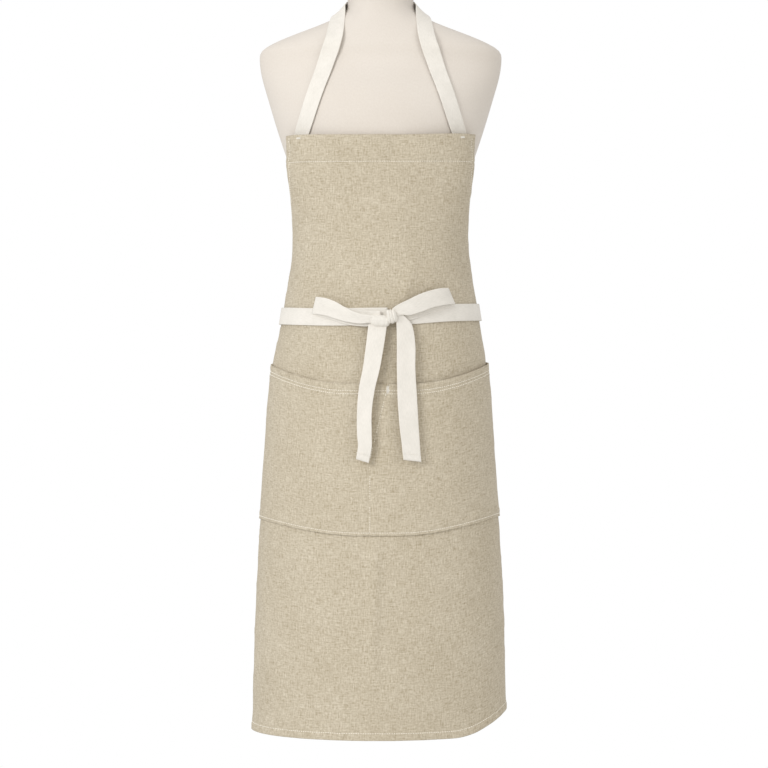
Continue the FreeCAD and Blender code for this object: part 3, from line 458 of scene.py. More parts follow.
def ramp_colour(tree, share, stops):
    """A colour for each value, from (value, colour) stops."""
    node = put(tree, "ValToRGB", {0: share})
    for index, (place, colour) in enumerate(stops):
        mark = node.color_ramp.elements[index] if index < 2 else node.color_ramp.elements.new(place)
        mark.position = place
        mark.color = (*colour, 1)
    return node.outputs[0]


def set_colour(tree, shader, share, dark, light, light_from=0.65):
    """Colour a shader from dark, where the share is low, to light, where it is high."""
    colour = ramp_colour(tree, share, ((0.35, dark), (light_from, light)))
    tree.links.new(colour, shader.inputs["Base Color"])


def set_bump(tree, shader, height, distance, strength=1.0):
    """Relief: a height, and the distance that a height of one stands for."""
    node = put(tree, "Bump", {"Height": height, "Distance": distance, "Strength": strength})
    tree.links.new(node.outputs[0], shader.inputs["Normal"])


def start_finish(name, roughness, on_cloth=True, **looks):
    """A new material, its node tree, its shader and the place by which its patterns are looked up: distances
    on the cloth, or places in the object."""
    made, shader = new_material(name, roughness, **looks)
    tree = made.node_tree
    if on_cloth:
        return made, tree, shader, put(tree, "UVMap", uv_map="cloth").outputs[0]
    return made, tree, shader, put(tree, "TexCoord").outputs["Object"]


def cloth_ways(tree, place):
    """The distances across and along the cloth."""
    split = put(tree, "SeparateXYZ", {0: place})
    return split.outputs[0], split.outputs[1]


# %% [markdown]
# ## Linen
# Flax yarn is uneven, so plain linen is never one flat colour. Pale and dark slubs run both ways, a finer
# heather lies between them, and washing leaves large soft patches. The weave itself is low relief, two
# yarns to a wave.

# %% Linen
LINEN_WAVE = 0.0017
WASHED_OUT = (0.93, 0.92, 0.90)


def linen_material(name, light, middle, dark):
    """Plain weave: the height is the product of two sine waves, one per yarn direction, roughened by slubs."""
    made, tree, shader, place = start_finish(name, 0.92, sheen=0.12, specular=0.2)
    across, along = cloth_ways(tree, place)
    warp = noise(tree, place, (950, 75, 1))
    weft = noise(tree, place, (75, 950, 1))
    heather = noise(tree, place, (330, 330, 1), 4.0, 0.65)
    washed = noise(tree, place, (14, 14, 1), 3.0)
    mixed = weighed(tree, weighed(tree, warp, 0.5, weft, 0.5), 0.62, heather, 0.38)
    colour = ramp_colour(tree, mixed, ((0.36, dark), (0.64, light), (0.5, middle)))
    patch = ramp_colour(tree, washed, ((0.3, WASHED_OUT), (0.7, (1.0, 1.0, 1.0))))
    worn = put(tree, "Mix", {0: 1.0, 6: colour, 7: patch}, data_type="RGBA", blend_type="MULTIPLY")
    tree.links.new(worn.outputs[2], shader.inputs["Base Color"])
    weave = maths(tree, "MULTIPLY", ribs(tree, across, LINEN_WAVE), ribs(tree, along, LINEN_WAVE))
    set_bump(tree, shader, weighed(tree, weave, 0.35, mixed, 2.6), 0.00035, 0.75)
    return made


linen = linen_material("washed_linen", (0.715, 0.648, 0.525), (0.56, 0.493, 0.378), (0.37, 0.305, 0.205))
print(linen.name, len(linen.node_tree.nodes), "nodes")

# %% [markdown]
# ## Cotton tape and thread
# Apron tape is a herringbone twill: fine slanting ribs whose slant turns back at the middle. Folding the
# distance across at the tape's middle gives both slants at once. Thread is too thin for a weave, so it only
# needs its strands.

# %% Cotton tape and thread
TAPE_WIDTH, TWILL_RIB = 0.025, 0.0016


def tape_material(name, light, dark):
    """Twill: ribs of the distance from the middle plus the distance along."""
    made, tree, shader, place = start_finish(name, 0.88, sheen=0.15, specular=0.2)
    across, along = cloth_ways(tree, place)
    folded = maths(tree, "ABSOLUTE", maths(tree, "SUBTRACT", across, TAPE_WIDTH / 2))
    twill = ribs(tree, maths(tree, "ADD", folded, along), TWILL_RIB)
    yarn = noise(tree, place, (1200, 160, 1))
    cloudy = noise(tree, place, (60, 40, 1), 3.0)
    set_colour(tree, shader, weighed(tree, yarn, 0.55, cloudy, 0.45), dark, light, 0.62)
    set_bump(tree, shader, weighed(tree, twill, 0.5, yarn, 1.6), 0.00018, 0.7)
    return made


def thread_material(name, light, dark):
    """Twisted strands, drawn finer up the object than across it."""
    made, tree, shader, place = start_finish(name, 0.7, on_cloth=False, sheen=0.1, specular=0.3)
    strands = noise(tree, place, (900, 900, 1500))
    set_colour(tree, shader, strands, dark, light)
    set_bump(tree, shader, strands, 0.0002, 0.6)
    return made


tape_cotton = tape_material("natural_cotton_tape", (0.83, 0.79, 0.725), (0.745, 0.71, 0.645))
sewing_thread = thread_material("pale_sewing_thread", (0.95, 0.91, 0.82), (0.84, 0.79, 0.68))
tack_thread = thread_material("white_tack_thread", (0.90, 0.88, 0.82), (0.80, 0.77, 0.70))
print(tape_cotton.name, sewing_thread.name, tack_thread.name)

# %% [markdown]
# ## Jersey
# The cover is a fine single knit. From nearby it shows narrow upright ribs crossed by rows of loops; from
# further away it is a smooth, slightly cloudy skin, and both come from the same small tree.

# %% Jersey
KNIT_RIB, KNIT_ROW = 0.0012, 0.0009


def jersey_material(name, light, dark):
    """Fine knit: narrow upright ribs of loops, crossed by the rows of loops."""
    made, tree, shader, place = start_finish(name, 0.85, sheen=0.2, specular=0.2)
    across, along = cloth_ways(tree, place)
    upright, level_rows = ribs(tree, across, KNIT_RIB), ribs(tree, along, KNIT_ROW)
    yarn = noise(tree, place, (500, 300, 1), 3.0)
    cloudy = noise(tree, place, (9, 9, 1))
    set_colour(tree, shader, weighed(tree, yarn, 0.5, cloudy, 0.5), dark, light, 0.62)
    loops = weighed(tree, upright, 0.5, level_rows, 0.25)
    set_bump(tree, shader, maths(tree, "ADD", loops, yarn), 0.00012, 0.6)
    return made


jersey = jersey_material("ecru_jersey", (0.722, 0.666, 0.60), (0.682, 0.622, 0.553))
print(jersey.name, len(jersey.node_tree.nodes), "nodes")

# %% [markdown]
# ## The form's cover
# A tube of ecru jersey is pulled over the foam and glued down. It is one smooth skin: rings of the form's
# shape, with the inner face one jersey thickness behind, closed at the hip and under the neck cap.

# %% The form's cover
JERSEY, SKIN_BOTTOM, SKIN_TOP = 0.0012, 0.085, 0.826
EDGE_LEVELS, EDGE_TUCK = (SKIN_BOTTOM, 0.0858, 0.0875), (0.0016, 0.0006, 0.0001)
turns = np.linspace(-math.pi, math.pi, 181)[:-1]
round_count = len(turns)
levels = np.concatenate([EDGE_LEVELS, np.linspace(0.090, SKIN_TOP, 150)])
tuck = np.concatenate([EDGE_TUCK, np.zeros(150)])
turn_grid, level_grid = np.meshgrid(turns, levels)
skin = form_point(turn_grid, level_grid, -tuck[:, None])
lining = form_point(turn_grid, level_grid, -JERSEY)[::-1]
shell = np.concatenate([skin, lining])
shell_uv = np.stack([turn_grid * form_side(0.5), level_grid], -1)
shell_uv = np.concatenate([shell_uv, shell_uv[::-1]])
cover_faces = grid_faces(len(shell), round_count, around=True)
edge = np.stack([np.arange(round_count), (np.arange(round_count) + 1) % round_count], -1)
closing = np.concatenate([edge + (len(shell) - 1) * round_count, edge[:, ::-1]], axis=1)
cover = add_piece("jersey_cover", shell.reshape(-1, 3), np.concatenate([cover_faces, closing]),
                  shell_uv.reshape(-1, 2))
dress(cover, "form_cover", jersey)
print("jersey cover", len(cover.data.polygons), "faces")

# %% [markdown]
# ## The foam
# Under the jersey the torso is rigid foam, and only its rim shows, round the base plate. It is the form's
# own shape again, drawn in by a little more than the jersey's thickness, so that it can't show through the
# cover anywhere.

# %% The foam
FOAM_INSET = 0.0014
foam_levels = np.linspace(SKIN_BOTTOM, SKIN_TOP, 120)
foam_points = form_point(*np.meshgrid(turns, foam_levels), -FOAM_INSET).reshape(-1, 3)
foam_faces = grid_faces(len(foam_levels), round_count, around=True).tolist()
bottom, top = range(round_count), range(len(foam_points) - round_count, len(foam_points))
foam_faces += [list(bottom)[::-1], list(top)]
torso = add_piece("torso_foam", foam_points, foam_faces)
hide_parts("form_core")
print("foam", len(foam_points), "points")

# %% [markdown]
# ## The apron panel
# The panel is cut wide at the skirt and narrow at the bib, with a long hollow curve for the armhole. Its
# edges are folded over and stitched, which makes them thicker, and each row of stitches pulls the cloth
# down into a groove with small puckers beside it. Washed linen also keeps broad soft waves and a net of
# shallow creases.

# %% Relief of the linen
BIB_HALF, SKIRT_HALF, ARMHOLE = 0.152, 0.340, 0.243
LINEN, BIB_HEM, SIDE_HEM, SKIRT_HEM = 0.001, 0.038, 0.009, 0.010
CORNER, CORNER_ROUND, ARMHOLE_POWER = LENGTH - ARMHOLE, 0.018, 2.8
BROAD, CRUMPLE, FINE, CREASE, FOLD, PULL = 0.0012, 0.00034, 0.00016, 0.00075, 0.0034, 0.0024
HEM_FOLD, GROOVE, PUFF, RIPPLE = 0.0010, 0.00065, 0.00055, 0.0013


def cloth_half(height):
    """Half the cut width: level up to the waist, then in to the bib as a power curve, its corner rounded."""
    above = height - CORNER
    rounded = np.where(np.abs(above) < CORNER_ROUND, (above + CORNER_ROUND) ** 2 / (4 * CORNER_ROUND), above)
    share = np.clip(1 - np.maximum(rounded, 0) / ARMHOLE, 0, 1)
    return BIB_HALF + (SKIRT_HALF - BIB_HALF) * share ** ARMHOLE_POWER


def waves(across, height):
    """Broad waves, shallow crumples and sharp little creases, as heights out of the cloth, with one long fold
    down the middle of the pocket and one that the knot pulls into the bib."""
    broad = BROAD * soft_noise(across / 0.11 + 3, height / 0.19 + 7)
    crumple = CRUMPLE * soft_noise((across + 0.4 * height) / 0.021, (height - 0.3 * across) / 0.026)
    fine = FINE * soft_noise(across / 0.0085, height / 0.010)
    ridge = 1 - np.abs(soft_noise((across + height) / 0.045 + 9, (height - 0.6 * across) / 0.06))
    fold = FOLD * bump(across, -0.004 - 0.03 * (0.3 - height), 0.009)
    fold = fold * ramp(height, 0.02, 0.16) * (1 - ramp(height, 0.24, 0.30))
    pull = PULL * bump(across, 0.030 + 0.25 * (height - 0.61), 0.008)
    pull = pull * ramp(height, 0.605, 0.625) * (1 - ramp(height, 0.64, 0.70))
    calm = 1 - 0.6 * ramp(height, 0.70, 0.80)
    return broad * calm + crumple + fine + CREASE * ridge ** 9 + fold + pull


def pucker(along, away, reach=0.007):
    """A groove where a row of stitches lies, with small puffs beside it that come and go along the row."""
    groove = -GROOVE * bump(away, 0, 0.0017)
    puffs = PUFF * soft_noise(along / 0.0065, away * 0 + 3.3) * bump(away, 0, reach)
    return groove + puffs


def panel_relief(across, height):
    """How far the cloth stands out, in three parts: waves, what only the outer face shows of the folded hems
    and their stitches, and the ripples of the bib's top."""
    edge = cloth_half(height) - np.abs(across)
    bib_row = LENGTH - BIB_HEM
    folds = HEM_FOLD * ramp(height, bib_row - 0.0015, bib_row + 0.0015)
    for away, hem in ((edge, SIDE_HEM), (height, SKIRT_HEM)):
        folds = np.maximum(folds, HEM_FOLD * (1 - ramp(away, hem - 0.0012, hem + 0.0012)))
    stitches = pucker(across, height - bib_row) + pucker(height, edge - SIDE_HEM)
    stitches = stitches + pucker(across, height - SKIRT_HEM)
    ripples = RIPPLE * soft_noise(across / 0.021, height * 0 + 5.1)
    ripples = ripples * ramp(height, LENGTH - 0.045, LENGTH - 0.028)
    return waves(across, height), folds + stitches, ripples


def dense(low, high, step, marks, fine, reach):
    """Stations from low to high, a step apart, and closer together near some marks."""
    stations = [low]
    while stations[-1] < high - step / 2:
        near = min(abs(stations[-1] - mark) for mark in marks)
        stations.append(stations[-1] + (fine if near < reach else step))
    stations[-1] = high
    return np.array(stations)

print("cut width at the bib and the skirt", [round(2 * float(cloth_half(z)), 3) for z in (LENGTH, 0)], "m")

# %% [markdown]
# ## The panel
# Rows and columns of points lie closer together where the cloth turns sharply, at its hems and edges, and
# further apart in the open. Each column keeps its share of the cut width, so it follows the armhole's curve
# by itself.

# %% The panel
heights = dense(0, LENGTH, 0.0044, (0, SKIRT_HEM, LENGTH - BIB_HEM, LENGTH), 0.0016, 0.006)
shares = dense(0, 0.5, 0.0080, (0,), 0.0038, 0.02)
shares = np.concatenate([shares, 1 - shares[-2::-1]])
share_grid, height_grid = np.meshgrid(2 * shares - 1, heights)
across_grid = share_grid * cloth_half(height_grid)
common, outer_only, ripples = panel_relief(across_grid, height_grid)
panel_outer = cloth_point(across_grid, height_grid, LINEN + common + outer_only + ripples)
INNER_SINK = 0.0002
panel_inner = cloth_point(across_grid, height_grid, common + ripples - INNER_SINK)
panel_uv = np.stack([across_grid, height_grid], -1)
panel = sheet_mesh("linen_panel", panel_outer, panel_inner, panel_uv)
dress(panel, "apron_panel", linen)

# %% [markdown]
# ## The pocket
# One wide piece of the same linen is sewn on along its bottom, its two ends and a line down the middle. The
# top edge is folded twice and held with two rows. Its upper edge is free between the seams, so it stands a
# few millimetres off the panel there and throws a thin dark line, most on the side where a hand usually
# goes in.

# %% The pocket
POCKET_TOP, POCKET_BOTTOM, POCKET_HALF, MOUTH_SAG = 0.503, 0.288, 0.326, 0.014
POCKET_TALL, MOUTH_ROWS = POCKET_TOP - POCKET_BOTTOM, (0.010, 0.0145)
MOUTH_HEM, SEAM_RISE, LIFT_WAVE, TURNING = 0.0185, 0.004, 0.600, 0.006
GAP, RIGHT_GAPE, LEFT_GAPE = 0.0004, 0.0048, 0.0012


def divider_across(height):
    """The line sewn between the pockets: upright, then slanting over to meet the top edge."""
    share = (height - POCKET_BOTTOM) / POCKET_TALL
    return -0.013 + 0.026 * np.maximum(0, 2 * share - 1)


def mouth_height(across):
    """The pocket's top edge, cut a little higher at its two ends."""
    return POCKET_TOP + MOUTH_SAG * (1 - np.cos(math.pi * np.abs(across) / LIFT_WAVE))


def pocket_gape(across, height):
    """How far a mouth stands open: nothing at its seams, most between them, and more towards the top edge."""
    share = np.clip((height - POCKET_BOTTOM) / (mouth_height(across) - POCKET_BOTTOM), 0, 1)
    divider = divider_across(height)
    along = np.where(across > divider, (across - divider) / (POCKET_HALF - divider),
                     (divider - across) / (POCKET_HALF + divider))
    along = np.clip(along, 0, 1)
    open_by = np.where(across > divider, RIGHT_GAPE, LEFT_GAPE)
    return open_by * np.sin(math.pi * along ** 0.62) ** 2 * share ** 2.2


def pocket_faces(across, height):
    """Outer and inner distance out of the pocket's cloth, above the panel's own relief."""
    under = LINEN + GAP + waves(across, height)
    from_top = mouth_height(across) - height
    hem = 0.0006 * (1 - ramp(from_top, MOUTH_HEM - 0.0015, MOUTH_HEM + 0.0015))
    turned = 0.0006 * (1 - ramp(height - POCKET_BOTTOM, 0.010, 0.014))
    ends = 0.0005 * (1 - ramp(POCKET_HALF - np.abs(across), 0.008, 0.012))
    stitches = sum(pucker(across, from_top - row) for row in MOUTH_ROWS)
    stitches = stitches + pucker(across, height - POCKET_BOTTOM - SEAM_RISE)
    stitches = stitches + pucker(height, across - divider_across(height))
    stitches = stitches - 0.0009 * bump(across, divider_across(height), 0.004)
    crinkle = 0.0005 * soft_noise(across / 0.012 + height / 0.02, height / 0.016)
    crinkle = crinkle * bump(height, POCKET_BOTTOM + 0.012, 0.02) * ramp(across, 0.02, 0.12)
    base = under + pocket_gape(across, height) + crinkle
    return base + LINEN + np.maximum(hem, np.maximum(turned, ends)) + stitches, base


row_shares = (0, SEAM_RISE / POCKET_TALL, 1 - MOUTH_ROWS[1] / POCKET_TALL, 1)
pocket_shares = dense(0, 1, 0.022, row_shares, 0.0085, 0.045)
column_grid, up_grid = np.meshgrid(np.linspace(-1, 1, 197) * POCKET_HALF, pocket_shares)
pocket_height = POCKET_BOTTOM + (mouth_height(column_grid) - POCKET_BOTTOM) * up_grid
pocket_out, pocket_in = pocket_faces(column_grid, pocket_height)
pocket_uv = np.stack([column_grid, pocket_height], -1)
pocket_skins = (cloth_point(column_grid, pocket_height, out) for out in (pocket_out, pocket_in))
pocket = sheet_mesh("linen_pocket", *pocket_skins, pocket_uv)
dress(pocket, "pocket_panel", linen)
print("pocket", pocket_out.shape)

# %% [markdown]
# ## Stitches
# Every seam is sewn with single stitches of pale thread, a little over three millimetres apart. One stitch
# is a small capsule, and a whole row is that capsule repeated along its path in one array sum: its place,
# plus its length along the path, its width across and its height out of the cloth.

# %% Stitches
STITCH_PITCH, STITCH_LENGTH, STITCH_RADIUS, STITCH_SIDES = 0.0034, 0.0028, 0.00058, 5
STITCH_OUT, ROW_END = 0.00022, 0.001
ring_turns = 2 * math.pi * np.arange(STITCH_SIDES) / STITCH_SIDES
ring_places, ring_sizes = (-0.32, 0.0, 0.32), (0.78, 1.0, 0.78)
capsule = [(-0.5, 0, 0)]
for place_along, ring_size in zip(ring_places, ring_sizes):
    capsule += [(place_along, ring_size * math.cos(turn), ring_size * math.sin(turn)) for turn in ring_turns]
capsule = np.array(capsule + [(0.5, 0, 0)])
around = np.arange(STITCH_SIDES)
beside = (around + 1) % STITCH_SIDES
first_ring, last_ring, tip = 1, 1 + 2 * STITCH_SIDES, len(capsule) - 1
cap_faces = [np.stack([around * 0, first_ring + beside, first_ring + around], -1),
             np.stack([around * 0 + tip, last_ring + around, last_ring + beside], -1)]
band_faces = grid_faces(3, STITCH_SIDES, start=1, around=True)


def stitch_points(middles, along, out, length, radius):
    """Capsules at their middles: along the row, across it and out of the cloth."""
    across = np.cross(out, along)
    shape = capsule[None, :, :, None]
    return (middles[:, None] + along[:, None] * shape[:, :, 0] * length
            + across[:, None] * shape[:, :, 1] * radius + out[:, None] * shape[:, :, 2] * radius)


def add_stitches(name, node, rows, finish, body=ROOT):
    """One piece of many stitches; a row is (points, out directions, pitch, length, radius)."""
    batches = []
    for points, out, pitch, length, radius in rows:
        reach = path_reach(points)
        middles = np.arange(pitch / 2, reach[-1], pitch)
        ahead, behind = (along_path(middles + step, reach, points) for step in (pitch / 4, -pitch / 4))
        facing = unit(along_path(middles, reach, out))
        places = along_path(middles, reach, points)
        batches.append(stitch_points(places, unit(ahead - behind), facing, length, radius))
    points = np.concatenate(batches)
    count = len(points)
    starts = np.arange(count)[:, None, None] * len(capsule)
    threes = (np.concatenate(cap_faces)[None] + starts).reshape(-1, 3)
    fours = (band_faces[None] + starts).reshape(-1, 4)
    piece = add_piece(name, points.reshape(-1, 3), threes.tolist() + fours.tolist(), body=body)
    dress(piece, node, finish)
    print(name, count, "stitches")


def cloth_row(across, height, out):
    """A row of stitches on the cloth, its thread half sunk in the face at that distance out."""
    across, height, out = np.broadcast_arrays(across, height, out)
    return (cloth_point(across, height, out + STITCH_OUT), cloth_out(across, height),
            STITCH_PITCH, STITCH_LENGTH, STITCH_RADIUS)


def panel_face(across, height):
    """How far out the panel's outer face lies."""
    return LINEN + sum(panel_relief(across, height))


def on_panel(across, height):
    """A row of stitches on the panel."""
    across, height = np.broadcast_arrays(across, height)
    return cloth_row(across, height, panel_face(across, height))


def on_pocket(across, height):
    """A row of stitches on the pocket."""
    across, height = np.broadcast_arrays(across, height)
    return cloth_row(across, height, pocket_faces(across, height)[0])


# %% [markdown]
# ## The hems' stitches
# The bib and the skirt each have one level row, which stops just inside the side hems, and one row runs up
# each side the same distance in from the edge all the way round the armhole.

# %% The hems' stitches
run = np.linspace(-1, 1, 401)
bib_row_height = LENGTH - BIB_HEM
bib_across = run * (cloth_half(bib_row_height) - SIDE_HEM - ROW_END)
add_stitches("bib_hem_stitches", "bib_hem_stitching", [on_panel(bib_across, bib_row_height)], sewing_thread)
hem_across = run * (SKIRT_HALF - SIDE_HEM - ROW_END)
add_stitches("skirt_hem_stitches", "skirt_hem_stitching", [on_panel(hem_across, SKIRT_HEM)], sewing_thread)
side_heights = np.linspace(SKIRT_HEM, LENGTH - 0.004, 601)
side_rows = [on_panel(sign * (cloth_half(side_heights) - SIDE_HEM), side_heights) for sign in (-1, 1)]
add_stitches("side_hem_stitches", "side_hem_stitching", side_rows, sewing_thread)

# %% [markdown]
# ## The pocket's stitches
# Two rows hold the folded mouth. The seam that holds the pocket on goes up one end, along the bottom and up
# the other end, and one more row divides it in two.

# %% The pocket's stitches
END_INSET, END_TOP = 0.003, 0.512
mouth_across = run * (POCKET_HALF - 0.004)
mouth_rows = [on_pocket(mouth_across, mouth_height(mouth_across) - drop) for drop in MOUTH_ROWS]
add_stitches("pocket_mouth_stitches", "pocket_mouth_stitching", mouth_rows, sewing_thread)
seam_low = POCKET_BOTTOM + SEAM_RISE
divider_heights = np.linspace(seam_low, POCKET_TOP - 0.016, 201)
end_heights = np.linspace(seam_low, END_TOP, 201)
seam_rows = [on_pocket(run * (POCKET_HALF - END_INSET), seam_low),
             on_pocket(divider_across(divider_heights), divider_heights)]
seam_rows += [on_pocket(sign * (POCKET_HALF - END_INSET), end_heights) for sign in (-1, 1)]
add_stitches("pocket_seam_stitches", "pocket_seam_stitching", seam_rows, sewing_thread)

# %% [markdown]
# ## Cotton tape
# The strap and ties are woven tape, 25 mm wide and about a millimetre thick, with a slightly thicker,
# rounded selvedge. A tape is a cross-section carried along a path: the path gives the middle of the back
# face, the direction across and the direction out at each step.

# %% Cotton tape
TAPE = 0.0011
profile = np.array([-0.5, -0.492, -0.47, -0.40, -0.2, 0.0, 0.2, 0.40, 0.47, 0.492, 0.5])
thick = np.array([0.30, 0.75, 1.02, 0.95, 0.92, 0.92, 0.92, 0.95, 1.02, 0.75, 0.30])


def tape_mesh(name, middles, across, out, width=TAPE_WIDTH, body=ROOT, relief=0.0):
    """A strip along a path: each row is its middle, plus across times a share of the width, plus out."""
    width = np.broadcast_to(width, (len(middles),))
    relief = np.broadcast_to(relief, (len(middles), len(profile)))
    spread = across[:, None] * (profile[None, :, None] * width[:, None, None])
    base = middles[:, None] + spread + out[:, None] * relief[..., None]
    outer = base + out[:, None] * (TAPE / 2 * (1 + thick))[None, :, None]
    inner = base + out[:, None] * (TAPE / 2 * (1 - thick))[None, :, None]
    reach = path_reach(middles)
    uv = np.stack(np.broadcast_arrays((profile[None, :] + 0.5) * TAPE_WIDTH, reach[:, None]), -1)
    piece = sheet_mesh(name, outer, inner, uv, body)
    dress(piece, None, tape_cotton)
    return piece, float(reach[-1])


def spline(points, count):
    """A smooth path through points: each stretch is the Catmull-Rom cubic of its four nearest points, and the
    samples are evenly spaced along it."""
    points = np.asarray(points, float)
    ends = np.concatenate([2 * points[:1] - points[1:2], points, 2 * points[-1:] - points[-2:-1]])
    share = np.linspace(0, len(points) - 1, 40 * len(points))
    i = np.minimum(share.astype(int), len(points) - 2)
    t = (share - i)[:, None]
    a, b, c, d = ends[i], ends[i + 1], ends[i + 2], ends[i + 3]
    path = 0.5 * (2 * b + (c - a) * t + (2 * a - 5 * b + 4 * c - d) * t ** 2 + (3 * b - a - 3 * c + d) * t ** 3)
    reach = path_reach(path[:, :3])
    return along_path(np.linspace(0, reach[-1], count), reach, path)

# %% [markdown]
# ## The neck strap
# One length of tape starts behind each corner of the bib, climbs over the chest, bends in over the root of
# the neck and runs behind it. The path is given on the form, as a height, a distance from the centre line
# and a small distance off the jersey.

# %% The neck strap
NECK_ROOT, NECK_OFF = 0.792, 0.0044
STRAP_FRONT = np.array([(-22, 114, 2.6), (0, 113, 2.4), (30, 104, 2.0), (55, 96, 2.0), (75, 89, 2.2),
                        (95, 82, 2.6), (115, 76, 3.2), (145, 66, 4.6)]) * MM
ROUND_NECK = np.array([(70, 20), (90, 13), (115, 7), (145, 3), (180, 2)], float)


def strap_half(sign):
    """Half the strap's path, from the back of the bib to the middle of the nape: places (height over the bib,
    across, off the form) in front, then (degrees round, drop below the root) round the neck."""
    level, across = HEM_Z + LENGTH + STRAP_FRONT[:, 0], STRAP_FRONT[:, 1]
    turn = np.arcsin(np.minimum(across / skin_size(level, 1), 1))
    turn = np.concatenate([turn, np.radians(ROUND_NECK[:, 0])])
    level = np.concatenate([level, NECK_ROOT - ROUND_NECK[:, 1] * MM])
    off = np.concatenate([STRAP_FRONT[:, 2], np.full(len(ROUND_NECK), NECK_OFF)])
    points = form_point(turn, level) + form_out(turn, level) * off[:, None]
    return points * (sign, 1, 1)


def form_value(points):
    """An ellipse's own equation at each height: below 1 inside the form, 1 on its skin and above 1 outside."""
    wide, ahead, behind = (skin_size(points[:, 2], i) for i in (1, 2, 3))
    return (points[:, 0] / wide) ** 2 + ((points[:, 1] - (behind - ahead) / 2) / ((ahead + behind) / 2)) ** 2


def form_out_at(points):
    """The direction out of the form at points near it, which is the way its equation's value rises fastest."""
    steps = np.eye(3) * 0.001
    return unit(np.stack([form_value(points + step) - form_value(points - step) for step in steps], -1))


strap_path = spline(np.concatenate([strap_half(-1), strap_half(1)[-2::-1]]), 181)
strap_out = form_out_at(strap_path)
strap_across = unit(np.cross(strap_out, np.gradient(strap_path, axis=0)))
strap, strap_length = tape_mesh("neck_strap_tape", strap_path, strap_across, strap_out)
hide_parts("neck_strap")
print("neck strap", round(strap_length, 3), "m")

# %% [markdown]
# ## The waist ties
# Each tie starts at a corner of the skirt, behind, crosses the other at the middle of the back and comes
# round to the front. It dips under the side hem's corner and rises again to the knot.

# %% The waist ties
TIE_DIP, TIE_LAP, HOLD, STEP_UP = 0.037, 0.024, 0.022, 0.007
TIE_OUT, OVER, OVER_HEM, KNOT_SIDE = 0.0023, 0.0012, 0.0016, 0.018
far_round = 2 * float(half_round(TIE_HEIGHT))


def tie_path(sign, cross_out, raise_by):
    """One tie as (across, height, out) stations round the body, from its far corner to the knot."""
    low = TIE_HEIGHT - TIE_DIP
    knot = KNOT_SIDE + sign * 0.008
    front = TIE_HEIGHT + raise_by
    corner, middle = far_round - SKIRT_HALF, TIE_HEIGHT - TIE_DIP / 2
    stations = np.array([(corner + TIE_LAP, TIE_HEIGHT, TIE_OUT + OVER), (corner, TIE_HEIGHT, TIE_OUT + OVER),
                         (corner - STEP_UP, TIE_HEIGHT, cross_out), (corner - HOLD, TIE_HEIGHT, cross_out),
                         (far_round / 2, middle, cross_out), (SKIRT_HALF + HOLD, low, cross_out),
                         (SKIRT_HALF + STEP_UP, low, cross_out + 0.0008), (SKIRT_HALF, low, TIE_OUT + OVER_HEM),
                         (SKIRT_HALF - TIE_LAP - 2 * STEP_UP, low, TIE_OUT + OVER_HEM),
                         (0.225, front, TIE_OUT + 0.0014), (0.110, front, TIE_OUT + OVER),
                         (sign * knot, TIE_HEIGHT - 0.002, TIE_OUT + OVER)]) * (sign, 1, 1)
    reach = np.concatenate([[0], np.cumsum(np.hypot(*np.diff(stations[:, :2], axis=0).T) + 1e-6)])
    even = np.linspace(0, reach[-1], 241)
    return [smooth_curve(np.stack([reach, stations[:, i]], -1))(even) for i in range(3)]


TIES = (("left", -1, TIE_OUT, -0.003), ("right", 1, TIE_OUT + 0.0019, 0.003))
for side_name, sign, cross_out, raise_by in TIES:
    across, height, out = tie_path(sign, cross_out, raise_by)
    middles = cloth_point(across, height, out)
    facing = cloth_out(across, height)
    sideways = unit(np.cross(facing, np.gradient(middles, axis=0)))
    piece, length = tape_mesh("waist_tie_" + side_name + "_tape", middles, sideways, facing)
    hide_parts("waist_tie_" + side_name)
    print("tie", side_name, round(length, 3), "m")

# %% [markdown]
# ## The bow
# The ties meet right of the middle in a flat bow. Where tape runs freely it keeps its 25 mm, and where it
# goes into the knot it is gathered into lengthwise folds. Each run of the bow is a strip between its upper
# and lower edge; the two edges are given at a few stations and joined by smooth curves.

# %% The bow's loops
FRONT_Y = float(cloth_point(KNOT_SIDE, 0.597)[0, 1])
print("cloth at the knot, y =", round(FRONT_Y, 4))


def edge_runs(stations, count):
    """The two edges of a run of tape. A station is (x and z of one edge, x and z of the other, how far out of
    the hanging cloth each one lies), in millimetres."""
    path = spline((np.array(stations) * MM)[:, [0, 1, 4, 2, 3, 5]], count)
    return [np.stack([path[:, i], cloth_front(path[:, i], path[:, i + 1]) - path[:, i + 2], path[:, i + 1]], -1)
            for i in (0, 3)]


def loop_tape(name, stations, count, folds, fold_end):
    """A loop's tape, its upper edge given first, with lengthwise folds that fade out away from the knot."""
    upper, lower = edge_runs(stations, count)
    middles, across = (upper + lower) / 2, upper - lower
    out = unit(np.cross(np.gradient(middles, axis=0), across))
    share = np.linspace(0, 1, count)[:, None]
    round_fold = 2 * math.pi * profile[None, :]
    relief = np.sin(round_fold * 2.6 + 0.8) * 0.6 + 0.4 * np.sin(round_fold * 4.3 + share * 2)
    relief = relief * (1 - ramp(share, 0.0, fold_end)) * folds
    return tape_mesh(name, middles, unit(across), out, width=np.linalg.norm(across, axis=1), relief=relief)


